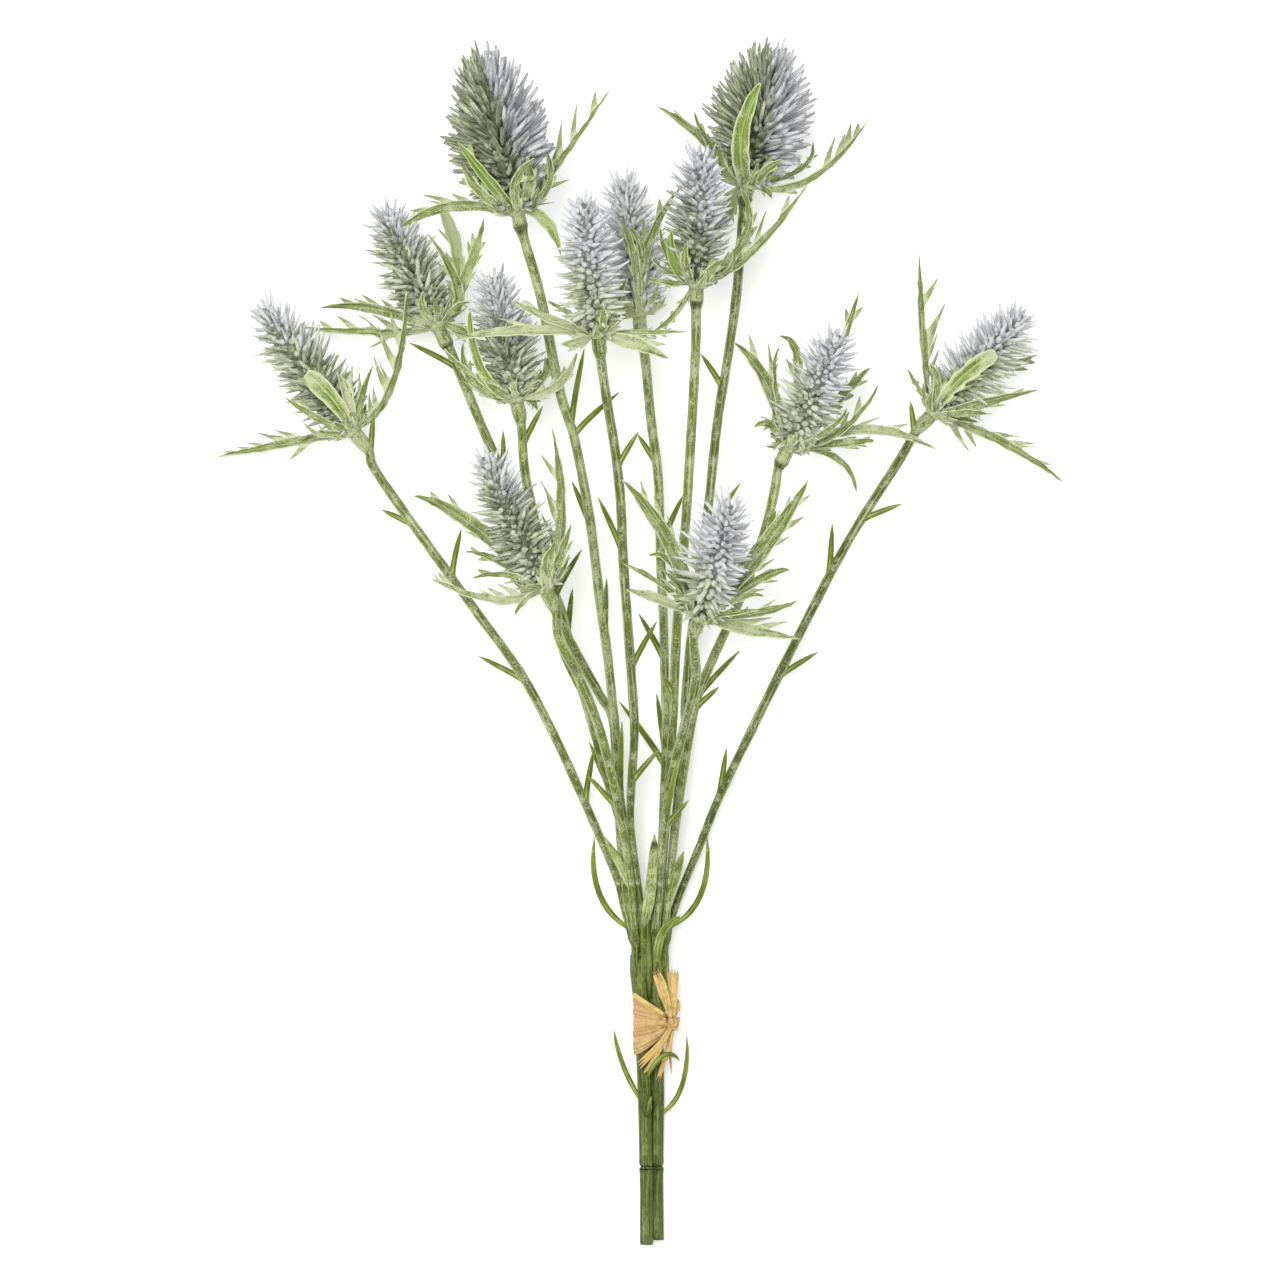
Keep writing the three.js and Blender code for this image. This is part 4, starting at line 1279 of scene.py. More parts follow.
@dataclass(frozen=True)
class LongLeaf:
    """A long needle leaf of a main stem: the height Y where it leaves, its middle and its tip."""

    height: float
    middle: Triple
    tip: Triple
    half_width: float = 0.95


@dataclass(frozen=True)
class MainStem:
    """A thick stem, with its plugged foot, its fork and two long leaves.

    route runs from the cut end to the fork. Radii are by height Y.
    """

    side: str
    route: tuple[Triple, ...]
    leaves: tuple[LongLeaf, ...]
    strips: tuple[tuple[Triple, ...], ...] = ()  # strips of the stem that stand out of it

    SIDES = 18
    STEP = 2.5
    FOOT_TOP = -189.2  # the peg's end, inside the stem
    STEM_FROM = -190.0
    FOOT_RADII: Profile = (
        (-218.5, 2.3), (-217.5, 2.45), (-215, 2.35), (-193, 2.3), (-191.2, 2.5), (-190.3, 2.1),
        (-190.25, 1.75), (-189.2, 1.75),
    )
    STEM_WIDTHS: Profile = (
        (-190, 2.1), (-188.8, 2.45), (-186, 2.35), (-145, 2.5), (-130, 3.1), (-119, 3.7), (-113.5, 3.5),
        (-111, 2),
    )
    STEM_HEIGHTS: Profile = (
        (-190, 2.1), (-188.8, 2.45), (-186, 2.35), (-127, 2.7), (-119, 4), (-113.5, 3.8), (-111, 2.2),
    )
    STRIP_SIDES = 10
    STRIP_HALF_SIZE = (1.35, 1.1)
    STRIP_STEP = 4.0
    STRAND_STEPS = 18
    STRAND_SIDES = 12
    STRAND_LENGTH = 40
    STRAND_FROM = -131.0
    STRAND_MIDDLE = -119.5
    STRAND_TOP = -103.0
    STRAND_RADII: Profile = ((0, 1), (0.3, 1.3), (0.6, 1.7), (0.78, 1.7), (0.92, 1.42), (1, 1.2))

    def curve(self) -> Chain:
        """Give the stem's route."""
        return Chain([Vector(place) for place in self.route])

    def sections(self, low: float, high: float, widths: Profile, heights: Profile) -> list[Section]:
        """Lay sections along the stem from one height Y to another."""
        curve = self.curve()
        steps = max(round((high - low) / self.STEP), 2)
        ys = [mix(low, high, i / steps) for i in range(steps + 1)]
        ys += [y for y, _ in widths if low < y < high]
        result = []
        for y in sorted(set(ys)):
            t = curve.at_height(y)
            result.append(Section(curve.point(t), between(widths, y), between(heights, y), y - low, 0.3))
        return result

    def build(self, material: bpy.types.Material) -> None:
        """Build the foot and the stem."""
        rng = random.Random(self.side)
        foot = Mould()
        sections = self.sections(self.route[0][1], self.FOOT_TOP, self.FOOT_RADII, self.FOOT_RADII)
        foot.sweep(self.SIDES, sections, tint=0.05, frost=0.4, ribs=0.03)
        foot.finish(f"{self.side}_stem_foot", material, Slot.STEM)

        stem = Mould()
        sections = self.sections(self.STEM_FROM, self.route[-1][1], self.STEM_WIDTHS, self.STEM_HEIGHTS)
        stem.sweep(self.SIDES, sections, tint=0.08, frost=0.38, ribs=0.05)
        for branch in BRANCHES:
            if (branch.number <= LEFT_BRANCHES) == (self.side == "left"):
                self.build_strand(stem, Chain([Vector(place) for place in branch.stem]))
        for leaf in self.leaves:
            curve = self.curve()
            start = curve.point(curve.at_height(leaf.height))
            route = Bow.through(start, Vector(leaf.middle), Vector(leaf.tip))
            frost = 0.1 + 0.5 * (leaf.half_width - 0.9)
            needle(stem, route, leaf.half_width, rng.uniform(0.8, 1), frost)
        for strip in self.strips:
            sections = []
            for i, place in enumerate(strip):
                slim = 1 - 0.7 * (i / (len(strip) - 1)) ** 4
                width, height = (size * slim for size in self.STRIP_HALF_SIZE)
                sections.append(Section(Vector(place), width, height, i * self.STRIP_STEP, 0.3))
            stem.sweep(self.STRIP_SIDES, sections, tint=0.1, frost=0.5)
        stem.finish(f"{self.side}_main_stem", material, Slot.STEM)

    def build_strand(self, mould: Mould, branch: Chain) -> None:
        """Build the strand that runs from a branch down into the stem."""
        curve = self.curve()
        foot = branch.point(0)
        middle = curve.point(curve.at_height(self.STRAND_MIDDLE))
        middle = Vector((foot.x, middle.y, mix(middle.z, foot.z, 0.92)))
        climb = [branch.point(branch.at_height(mix(foot.y, self.STRAND_TOP, share))) for share in (0.4, 1)]
        route = Chain([curve.point(curve.at_height(self.STRAND_FROM)), middle, foot, *climb])
        sections = []
        for i in range(self.STRAND_STEPS + 1):
            t = i / self.STRAND_STEPS
            radius = between(self.STRAND_RADII, t)
            along = t * self.STRAND_LENGTH + foot.z * 9 + foot.x * 5  # another grain for each strand
            sections.append(Section(route.point(t), radius, radius, along, 0.3))
        mould.sweep(self.STRAND_SIDES, sections, tint=0.12, frost=0.45, ribs=0.06)


# Raffia.

RAFFIA_HALF_THICKNESS = 0.3
RAFFIA_RIBS = 0.12


@dataclass(frozen=True)
class Ribbon:
    """A flat strand of raffia.

    places are the points of its route and widths its half width by the share of its length. frays
    is how many loose threads stand out of its end.
    """

    places: tuple[Triple, ...]
    widths: Profile
    tint: float = 0.5
    frays: int = 0

    SIDES = 10
    STEPS = 16
    THREAD_SIDES = 6
    THREAD_WIDTHS = (0.26, 0.2, 0.07)
    THREAD_HALF_THICKNESS = 0.14

    def build(self, mould: Mould, rng: random.Random) -> None:
        """Build the strand with a crease or two along it."""
        route = Chain([Vector(place) for place in self.places])
        length = route.length()
        phase, lean = rng.uniform(0, math.tau), rng.uniform(0.15, 0.35)
        sections = []
        for i in range(self.STEPS + 1):
            t = i / self.STEPS
            width = between(self.widths, t) * (1 + 0.08 * math.sin(phase + 9 * t))
            up = Vector((math.sin(phase + 4 * t) * lean, 0, 1)).normalized()
            along = t * length + phase * 40
            sections.append(Section(route.point(t), width, RAFFIA_HALF_THICKNESS, along, t, up))
        mould.sweep(self.SIDES, sections, tint=self.tint, frost=rng.uniform(0.1, 0.6), ribs=RAFFIA_RIBS)
        end, onward = route.point(1.0), route.tangent(1.0)
        across = onward.cross(UP).normalized()
        for i in range(self.frays):
            offset = mix(-1, 1, (i + 0.5) / self.frays) * self.widths[-1][1]
            start = end + across * (offset * 0.9) - onward * 1.5
            tip = start + onward * rng.uniform(2.2, 3.8)
            tip += across * (offset * 0.4 + rng.uniform(-0.25, 0.25))
            places = (start, (start + tip) / 2 + Vector((0, 0, 0.1)), tip)
            thread = [
                Section(place, width, self.THREAD_HALF_THICKNESS, 1.5, 0.5)
                for place, width in zip(places, self.THREAD_WIDTHS)
            ]
            mould.sweep(self.THREAD_SIDES, thread, self.tint, 0.3)


@dataclass(frozen=True)
class RaffiaTail:
    """A loose end, split into strands."""

    name: str
    strands: tuple[Ribbon, ...]

    def build(self, material: bpy.types.Material, rng: random.Random) -> None:
        """Build the end."""
        mould = Mould()
        for strand in self.strands:
            strand.build(mould, rng)
        mould.finish(f"raffia_tail_{self.name}", material, Slot.RAFFIA)


@dataclass(frozen=True)
class RaffiaTie:
    """The raffia: turns round both stems, a knot at their right side, a small loop and loose ends."""

    tails: tuple[RaffiaTail, ...]
    turns: int = 11
    centre: Triple = (3.75, 0.0, 6.5)
    half_width: float = 5.85
    half_height: float = 3.7
    left: Pair = (-148.0, -127.7)  # the lowest and the highest turn's Y at the left
    right: Pair = (-140.2, -135.6)
    knot: Triple = (12.0, -138.0, 8.3)
    loop: Triple = (13.0, -131.9, 8.6)

    SIDES = 12
    TURN_STEPS = 36
    TURN_ENDS = (0.9, 0.4)  # half the width and thickness where a turn meets the knot
    KNOT_STEPS = 18
    KNOT_BANDS = (  # each band's axis, half its width and its radius
        ((0.2, 1, 0.1), 1.9, 2.0), ((-0.5, 1, 0.3), 0.8, 2.3), ((1, -0.7, 0.4), 0.6, 2.3),
    )
    LOOP_STEPS = 24
    LOOP_SIDES = 10
    LOOP_HALF_SIZE = (2.3, 1.1)

    def build(self, material: bpy.types.Material) -> None:
        """Build every piece of the tie."""
        rng = random.Random("raffia")
        self.build_turns(material, rng)
        self.build_knot(material, rng)
        self.build_loop(material)
        for tail in self.tails:
            tail.build(material, rng)

    def build_turns(self, material: bpy.types.Material, rng: random.Random) -> None:
        """Build the turns, a creased sheet that gathers from the left side to the knot."""
        mould = Mould()
        for k in range(self.turns):
            share = k / (self.turns - 1)
            top = k == self.turns - 1
            lift = 0.5 if top else 0.2 * (k % 2) + rng.uniform(0, 0.08)
            girth = 0.72 if top else rng.uniform(0.95, 1.15)
            tint = 0.95 if top else rng.uniform(0, 0.3)
            start = rng.uniform(0, 60)
            sections = [Section(Vector(self.knot), *self.TURN_ENDS, start, 0.4)]
            for i in range(1, self.TURN_STEPS):
                angle = math.tau * i / self.TURN_STEPS
                gather = ((1 + math.cos(angle)) / 2) ** (1.0 if share > 0.3 else 1.3)
                y = mix(mix(*self.left, share), mix(*self.right, share), gather)
                out = Vector((math.cos(angle), 0, math.sin(angle)))
                place = Vector((
                    self.centre[0] + (self.half_width + lift) * out.x, y,
                    self.centre[2] + (self.half_height + lift) * out.z,
                ))
                up = Vector((out.x / self.half_width, 0, out.z / self.half_height)).normalized()
                width = mix(1.45, 0.8, gather) * girth * (1 + 0.05 * math.sin(3 * angle + start))
                along = start + angle * 5
                sections.append(Section(place, width, RAFFIA_HALF_THICKNESS, along, 0.4, up))
            sections.append(Section(Vector(self.knot), *self.TURN_ENDS, start + 32, 0.4))
            mould.sweep(self.SIDES, sections, tint, rng.uniform(0.1, 0.6), ribs=RAFFIA_RIBS)
        mould.finish("raffia_wrap", material, Slot.RAFFIA)

    def build_knot(self, material: bpy.types.Material, rng: random.Random) -> None:
        """Build the knot: a creased lump with strands drawn tight round it."""
        mould = Mould()
        centre = Vector(self.knot)
        lump = bmesh.ops.create_icosphere(mould.bm, subdivisions=2, radius=1.8)["verts"]
        for v in lump:
            v.co = centre + v.co * rng.uniform(0.9, 1.05)
            mould.mark(v, v.co.copy(), 0.4, 0.1, 0.2)
        for direction, width, radius in self.KNOT_BANDS:
            axis = Vector(direction).normalized()
            side = axis.orthogonal().normalized()
            other = axis.cross(side)
            sections = []
            for i in range(self.KNOT_STEPS + 1):
                angle = math.tau * i / self.KNOT_STEPS
                out = side * math.cos(angle) + other * math.sin(angle)
                place = centre + out * radius + axis * (0.35 * math.sin(2 * angle))
                sections.append(Section(place, width, RAFFIA_HALF_THICKNESS, angle * 2, 0.4, out))
            mould.sweep(self.SIDES, sections, rng.uniform(0, 0.3), 0.3, ribs=RAFFIA_RIBS)
        mould.finish("raffia_knot", material, Slot.RAFFIA)

    def build_loop(self, material: bpy.types.Material) -> None:
        """Build the small loop above the knot."""
        mould = Mould()
        foot, centre = Vector(self.knot), Vector(self.loop)
        away = (centre - foot).normalized()
        side = away.cross(UP)
        up = Vector((0.5, 0, 1)).normalized()
        high, wide = self.LOOP_HALF_SIZE
        sections = []
        for i in range(self.LOOP_STEPS + 1):
            angle = math.tau * (i / self.LOOP_STEPS - 0.5)
            place = centre + away * (math.cos(angle) * high - 0.3) + side * (math.sin(angle) * wide)
            if i in (0, self.LOOP_STEPS):
                place = foot.copy()
            sections.append(Section(place, 0.7, 0.26, i * 0.8, 0.4, up))
        mould.sweep(self.LOOP_SIDES, sections, 0.7, 0.4, ribs=0.1)
        mould.finish("raffia_loop", material, Slot.RAFFIA)


# What the bunch is made of.

LEFT_BRANCHES = 6  # branches 1 to 6 stand on the left stem

BRANCHES = (
    Branch(
        number=1, base=(-103.5, 76.5, 24), tip=(-138.5, 123.5, 20), kind=HeadKind.SMALL,
        bloom=0.78, lean=-14, spread=(1.06, 1.02),
        stem=(
            (-1.5, -110.5, 4.1), (-5, -99.5, 4), (-8.5, -85.5, 4.8), (-14.5, -71, 6), (-19, -60.5, 7),
            (-30.5, -35, 9.5), (-43, -11.5, 12), (-61, 13.5, 15), (-80.5, 40.5, 18), (-95.5, 62, 21.5),
        ),
        leaves=(
            Leaf(66.5, (-96, 82.5, 27)), Leaf(41.5, (-93.5, 48, 14)), Leaf(22.5, (-64.5, 41, 21)),
            Leaf(-15, (-58.5, -5, 8)), Leaf(-59.5, (-16.5, -38, 12)),
            Leaf(-104, (-16.5, -70.5, 13), middle=(-14.8, -91, 9)),
        ),
        bracts=(
            Bract((-128, 71.5, 14), (-153.5, 67.5, 0.5), 6, teeth=(
                (-122, 73), (-119, 74.5), (-133, 77), (-136, 75.5), (-139, 76), (-144, 72.5), (-146.5, 71),
                (-150.5, 69.5), (-126.5, 66),
            )),
            Bract((-114.5, 75, 26), (-121, 79, 27), 3.2, Tone.FROSTED, teeth=((-116, 78.5),)),
            Bract((-117, 81.5, 32), (-128, 88.5, 33), 3.6, teeth=((-122.5, 88.5),)),
            Bract((-111, 88, 35), (-120, 96.5, 38), 6.8, Tone.FRESH, Form.BROAD, teeth=(
                (-121.5, 96), (-117.5, 99),
            )),
            Bract((-105.5, 88.5, 30), (-109, 97.5, 32), 5, Tone.FROSTED, teeth=(
                (-103.5, 100), (-103.5, 94.5),
            )),
            Bract((-101, 87.5, 26), (-96, 100.5, 28), 4, teeth=((-101, 97.5), (-104, 90), (-99.5, 87.5))),
            Bract((-89.5, 94, 26), (-84, 126.5, 33), 5, teeth=(
                (-97.5, 90), (-96, 92), (-96, 104), (-94.5, 103), (-94.5, 114.5), (-90.5, 121.5),
            )),
            Bract((-116, 86.5, 10), (-125.5, 93, 5), 5),
        ),
    ),
    Branch(
        number=2, base=(-73, 114.5, 22), tip=(-94.5, 159.5, 14), kind=HeadKind.SMALL,
        bloom=0.76, lean=-6,
        stem=(
            (1.5, -110.5, 4.1), (-0.5, -98, 4.3), (-5, -74.5, 5), (-11, -53, 6.5), (-14.5, -40.5, 8),
            (-20, -20.5, 9.5), (-26, 1, 11), (-30, 15.5, 12), (-41.5, 42.5, 15), (-55, 73, 18),
            (-68.5, 105.5, 21),
        ),
        leaves=(
            Leaf(98, (-83, 108, 24)), Leaf(58.5, (-49.5, 76.5, 14)), Leaf(1, (-24.5, 19.5, 8)),
            Leaf(-22, (-30, -1.5, 7)), Leaf(-55, (-18.5, -36, 4)),
        ),
        bracts=(
            Bract((-96.5, 121, 21), (-116, 121, 17), 5.6, teeth=(
                (-108.5, 124.5), (-103.5, 124), (-100.5, 125.5), (-93.5, 124),
            )),
            Bract((-101, 112, 15), (-122, 114.5, 0.5), 5.6, teeth=(
                (-116.5, 117), (-110, 118.5), (-102, 118.5), (-97, 118.5), (-98.5, 106.5),
            )),
            Bract((-85, 122.5, 12), (-89.5, 137, 4), 4.3),
            Bract((-78, 120.5, 31), (-78, 126.5, 33), 3.2),
            Bract((-66, 127, 26), (-76.5, 147.5, 25), 5.4),
            Bract((-66.5, 135.5, 17), (-72.5, 157, 13), 6.4, Tone.LIME, Form.BROAD),
            Bract((-61.5, 137, 22), (-56.5, 153, 18), 5.4, Tone.LIME),
            Bract((-66, 121, 30), (-61, 122.5, 30), 3.2),
            Bract((-65, 112.5, 23), (-58, 110, 20), 4),
        ),
    ),
    Branch(
        number=3, base=(-44, 154.5, 43), tip=(-58.5, 214.5, 45), kind=HeadKind.LARGE,
        bloom=0.95, bloom_side=1.5, powder=-0.25,
        stem=(
            (1.5, -110.5, 7), (-0.6, -96.5, 8.8), (-3.5, -78.5, 10.6), (-7, -56.5, 14.5), (-8.5, -35, 18),
            (-10, -20.5, 20.5), (-12, -2.5, 23.5), (-14.5, 15.5, 26), (-18, 44, 30), (-23.5, 73, 34),
            (-29, 91, 36), (-35.5, 123.5, 40),
        ),
        leaves=(
            Leaf(73.5, (-7.5, 90, 32)), Leaf(76.5, (-20, 105.5, 38)), Leaf(40.5, (-24.5, 58, 27)),
            Leaf(1, (-12, 23, 30)), Leaf(-56.5, (-6.5, -28.5, 30)),
        ),
        bracts=(
            Bract((-67.5, 156.5, 47), (-86.5, 148, 45), 6.4, teeth=(
                (-67.5, 160.5), (-78, 160), (-76.5, 158), (-82.5, 154.5),
            )),
            Bract((-55.5, 167, 58), (-65, 178.5, 63), 5.4, Tone.FRESH, teeth=((-60.5, 178.5),)),
            Bract((-57.5, 162, 51), (-64, 172.5, 52), 4.7),
            Bract((-44.5, 164.5, 57), (-37.5, 172.5, 62), 4.7, teeth=((-42.5, 170), (-36, 166))),
            Bract((-39.5, 164, 50), (-40.5, 173.5, 51), 4.7),
            Bract((-33, 164.5, 45), (-34.5, 178, 47), 4),
            Bract((-27.5, 173.5, 41), (-11, 198, 41), 4.7, teeth=(
                (-30, 177.5), (-28, 187.5), (-22.5, 194), (-16, 198), (-25, 166),
            )),
            Bract((-33, 150.5, 39), (-28.5, 139, 34), 5.4, Tone.LIME, teeth=((-30.5, 158),)),
            Bract((-51, 166.5, 27), (-54.5, 180, 22), 5.8),
        ),
    ),
    Branch(
        number=4, base=(-15, 110.5, 52), tip=(-20.5, 160, 64), kind=HeadKind.SMALL,
        bloom=0.45, powder=0.35, lean=8,
        stem=(
            (1.5, -110.5, 9.9), (0.5, -98, 11.2), (-2, -78.5, 14.4), (-3.5, -64, 17), (-3, -49.5, 19.5),
            (-2, -31.5, 23), (-3, -13.5, 27), (-4.5, 8, 31.5), (-6, 29.5, 36), (-7, 51.5, 40),
            (-9, 69.5, 43.5), (-12, 87.5, 47.5),
        ),
        leaves=(
            Leaf(62, (-0.5, 75.5, 47)), Leaf(31, (-15, 52, 42)), Leaf(-10.5, (6, 7.5, 25)),
            Leaf(-51.5, (7, -38.5, 26)), Leaf(-104, (5.3, -69.5, 14), 1.8, middle=(4, -88, 16)),
        ),
        bracts=(
            Bract((-33, 115.5, 53), (-45.5, 122, 52), 5.4, Tone.FROSTED, teeth=(
                (-41, 122.5), (-39.5, 119),
            )),
            Bract((-25, 117, 48), (-33.5, 122.5, 48), 3.2, Tone.FROSTED),
            Bract((-44.5, 111, 54), (-66.5, 108, 51), 6.1, Tone.FROSTED, teeth=((-51.5, 116),)),
            Bract((-22, 107.5, 58), (-28.5, 106.5, 57), 5.4, Tone.FROSTED),
            Bract((-2.5, 107, 54), (10.5, 101.5, 52), 6.8, Tone.FROSTED, teeth=((6, 108.5), (9.5, 106.5))),
            Bract((3.5, 110.5, 55), (16.5, 111, 56), 2.9),
            Bract((-13, 114.5, 62), (-13.5, 120.5, 64), 3.6),
            Bract((-10, 119, 44), (-4.5, 130.5, 44), 5),
        ),
    ),
    Branch(
        number=5, base=(-44.5, 87.5, 36), tip=(-54, 135, 30), kind=HeadKind.SMALL,
        bloom=0.58, lean=-14,
        stem=(
            (-1.5, -110.5, 7), (-4.2, -96.5, 7), (-7, -74.5, 8.6), (-8.5, -49.5, 10.5), (-10, -28, 12),
            (-14.5, -19, 13.5), (-21.5, -6.5, 16.5), (-27, 4.5, 19), (-32.5, 22.5, 23), (-38, 44, 27.5),
            (-41.5, 62, 31),
        ),
        leaves=(
            Leaf(70, (-35, 85, 31)), Leaf(15.5, (-21, 33.5, 26)),
        ),
        bracts=(
            Bract((-57, 99, 43), (-61, 119.5, 41), 4.5, Tone.FRESH, Form.LANCE),
            Bract((-60, 94.5, 36), (-63.5, 108, 32), 5.4),
            Bract((-63.5, 99, 39), (-70, 105.5, 40), 2.5),
            Bract((-51, 90.5, 44), (-55, 93.5, 45), 4.3),
            Bract((-30, 92.5, 40.5), (-22.5, 104, 42), 4.7, Tone.FROSTED),
            Bract((-34, 96.5, 29), (-32, 109.5, 27), 4.3),
            Bract((-38.5, 86.5, 34.5), (-37, 83.5, 33), 3.2),
            Bract((-47.5, 101.5, 24), (-50.5, 112.5, 22), 5),
        ),
    ),
    Branch(
        number=6, base=(-34, 19.5, 54), tip=(-57.5, 69.5, 57), kind=HeadKind.SMALL,
        bloom=0.76,
        stem=(
            (-1.5, -110.5, 9.9), (-2.5, -94.5, 12.8), (-5, -74.5, 17.5), (-9, -53, 25), (-14.5, -31.5, 33),
            (-21.5, -13.5, 40.5), (-29, 1, 47),
        ),
        leaves=(
            Leaf(-62, (-19, -48, 18)), Leaf(-89, (-13, -70.5, 10), 1.5),
        ),
        bracts=(
            Bract((-61, 42.5, 42), (-81.5, 52.5, 40), 7.6, teeth=(
                (-69, 53.5), (-75.5, 54.5), (-70, 46.5), (-63, 40),
            )),
            Bract((-51, 29, 47), (-62.5, 32.5, 46), 4, teeth=((-61, 34.5), (-58, 29.5))),
            Bract((-47.5, 24.5, 57), (-60, 23, 56), 4, teeth=((-58, 26),)),
            Bract((-54.5, 15.5, 55), (-75, 23, 50), 5.4, Tone.FROSTED, teeth=(
                (-51, 21), (-58, 19), (-54.5, 19.5), (-72.5, 25.5), (-74.5, 25),
            )),
            Bract((-41.5, 15, 58), (-44.5, 9.5, 57), 3.2, teeth=((-45.5, 13),)),
            Bract((-29, 30, 62), (-24.5, 42.5, 65), 4.7),
            Bract((-28.5, 25.5, 57), (-25.5, 30.5, 57), 4),
            Bract((-27.5, 46.5, 50), (-31.5, 77, 48), 6.1, teeth=(
                (-35.5, 67.5), (-36, 59), (-33.5, 53), (-35.5, 46.5), (-32, 42.5),
            )),
            Bract((-33, 28.5, 63), (-30, 36, 66), 5.8),
        ),
    ),
    Branch(
        number=7, base=(-0.5, 119, 20), tip=(-6.5, 171, 13), kind=HeadKind.SMALL,
        bloom=0, powder=0.3, lean=-18,
        stem=(
            (5.75, -110.5, 4.1), (6.5, -96.5, 4.3), (7.5, -78.5, 4.8), (8.5, -56.5, 5.8),
            (9.5, -31.5, 7.4), (9, -13.5, 8.4), (8.5, 8, 10), (7.5, 29.5, 11.5), (7, 51.5, 13),
            (6, 65.5, 14.5), (4, 80, 16), (2, 101.5, 18.5),
        ),
        leaves=(
            Leaf(63.5, (-1, 75.5, 12)), Leaf(33.5, (16, 54, 14)), Leaf(-7.5, (-0.5, 10.5, 8)),
            Leaf(-46, (-7.5, -21.5, 5)), Leaf(-42.5, (6, -18.5, 5)),
        ),
        bracts=(
            Bract((-5, 138.5, 10), (-10.5, 154.5, 2), 6.8, Tone.LIME),
            Bract((-2, 138.5, 26), (-7, 153, 29), 3.8),
            Bract((3, 144, 22), (16, 166, 25), 4.4, teeth=((1, 153), (7, 160), (7, 151.5))),
            Bract((0.5, 140.5, 29), (-4, 149, 32), 3),
            Bract((-5, 122, 22), (-9, 119.5, 21), 4),
            Bract((3, 132.5, 11), (6.5, 145, 2), 4.7),
        ),
    ),
    Branch(
        number=8, base=(20.5, 128.5, 40), tip=(22.5, 178.5, 49), kind=HeadKind.SMALL,
        bloom=0.5, powder=-0.1, lean=-10, spread=(1.14, 0.96),
        stem=(
            (5.75, -110.5, 7), (7, -96.5, 8), (8.5, -78.5, 10), (10, -56.5, 12.6), (12, -28, 16),
            (12.5, -13.5, 18), (13.5, 8, 20.5), (16, 37, 25), (18.5, 76.5, 31.5), (20, 105.5, 36.5),
        ),
        leaves=(
            Leaf(-20.5, (8.5, -12, 22)),
        ),
        bracts=(
            Bract((10, 138.5, 38), (7, 149, 38), 4),
            Bract((12.5, 137.5, 45), (11.5, 148, 45), 6.8, Tone.FRESH, teeth=((17, 142.5), (9.5, 144))),
            Bract((8.5, 129, 41), (2, 131, 40), 3.2),
            Bract((8.5, 133.5, 42), (4, 138.5, 42), 2.5),
            Bract((16, 135.5, 50), (17, 143.5, 53), 4),
            Bract((25, 133, 49), (30, 137.5, 51), 4.7),
            Bract((40.5, 140, 40), (60, 164, 42), 5.4, teeth=((45.5, 155.5), (53.5, 160.5), (40.5, 149))),
            Bract((38.5, 146.5, 34), (36, 163.5, 32), 4.7),
            Bract((32, 134.5, 44), (33, 141.5, 45), 3.2),
            Bract((12.5, 118, 35), (3.5, 111, 31), 2.5),
        ),
    ),
    Branch(
        number=9, base=(39, 165, 25), tip=(48.5, 217.5, 25), kind=HeadKind.LARGE,
        bloom=0.9, bloom_side=1.5, powder=-0.2,
        stem=(
            (8.75, -110.5, 7), (9.5, -94.5, 7.2), (11.5, -78.5, 7.8), (13.5, -56.5, 9.4), (16, -35, 11.5),
            (16.5, -20.5, 13), (18.5, 1, 15), (24.5, 47.5, 18), (28, 80, 20), (31.5, 101.5, 21.5),
            (35, 127, 23),
        ),
        leaves=(
            Leaf(37, (36.5, 58, 14)), Leaf(91, (22, 104, 24)), Leaf(-55, (16, -40, 14)),
        ),
        bracts=(
            Bract((22.5, 181.5, 18), (6, 194, 16), 6.1, teeth=((12, 193),)),
            Bract((24.5, 180, 24), (19.5, 191.5, 24), 3.6),
            Bract((31, 169.5, 32), (28.5, 180, 30), 4.7),
            Bract((36.5, 182, 41), (43, 200.5, 47), 7, Tone.FRESH, Form.LANCE),
            Bract((44.5, 169.5, 35), (51, 173.5, 38), 4.7),
            Bract((62, 168, 26), (82.5, 189, 27), 4.7, teeth=(
                (76, 187), (78.5, 187), (70.5, 182.5), (74, 183.5), (57, 162),
            )),
            Bract((58.5, 171, 19), (62.5, 181.5, 17), 3.2),
            Bract((32.5, 157.5, 19), (29, 145.5, 16), 5.4, Tone.LIME),
            Bract((45, 163.5, 26), (47.5, 160, 25), 3.2),
            Bract((48.5, 177.5, 8), (54, 190, 0.5), 5.4),
        ),
    ),
    Branch(
        number=10, base=(21.5, 9.5, 52), tip=(33.5, 51.5, 76), kind=HeadKind.SMALL,
        bloom=0.4, powder=0.7, lean=4, spread=(1.3, 1.02),
        stem=(
            (5.75, -110.5, 9.9), (6.5, -96.5, 12.5), (7.5, -82, 16), (9, -64, 22), (12, -46, 29),
            (16.5, -28, 37), (20, -13.5, 43.5),
        ),
        leaves=(
            Leaf(-68, (17.5, -57, 24)), Leaf(-69, (13.7, -41.2, 35)),
        ),
        bracts=(
            Bract((9, 37, 59), (-6.5, 58, 64), 7.9, teeth=(
                (0, 58), (5, 52.5), (9.5, 45.5), (13.5, 39.5), (-2, 51.5), (2, 45), (6, 37.5),
            )),
            Bract((11.5, 27.5, 58), (3, 31, 61), 4.3, teeth=((6, 33.5), (9.5, 26))),
            Bract((6, 21.5, 54), (-6, 28, 56), 3.2, teeth=((0.5, 26.5),)),
            Bract((5.5, 15.5, 51), (-5, 19, 49), 5, Tone.FROSTED, teeth=((2, 19), (5.5, 25.5))),
            Bract((14.5, 18.5, 62), (8.5, 25.5, 66), 4),
            Bract((44.5, 33.5, 59), (60, 58, 64), 9.4, teeth=(
                (53.5, 52.5), (50, 47.5), (43.5, 37.5), (60.5, 52.5), (58.5, 45), (53.5, 38), (48, 30),
            )),
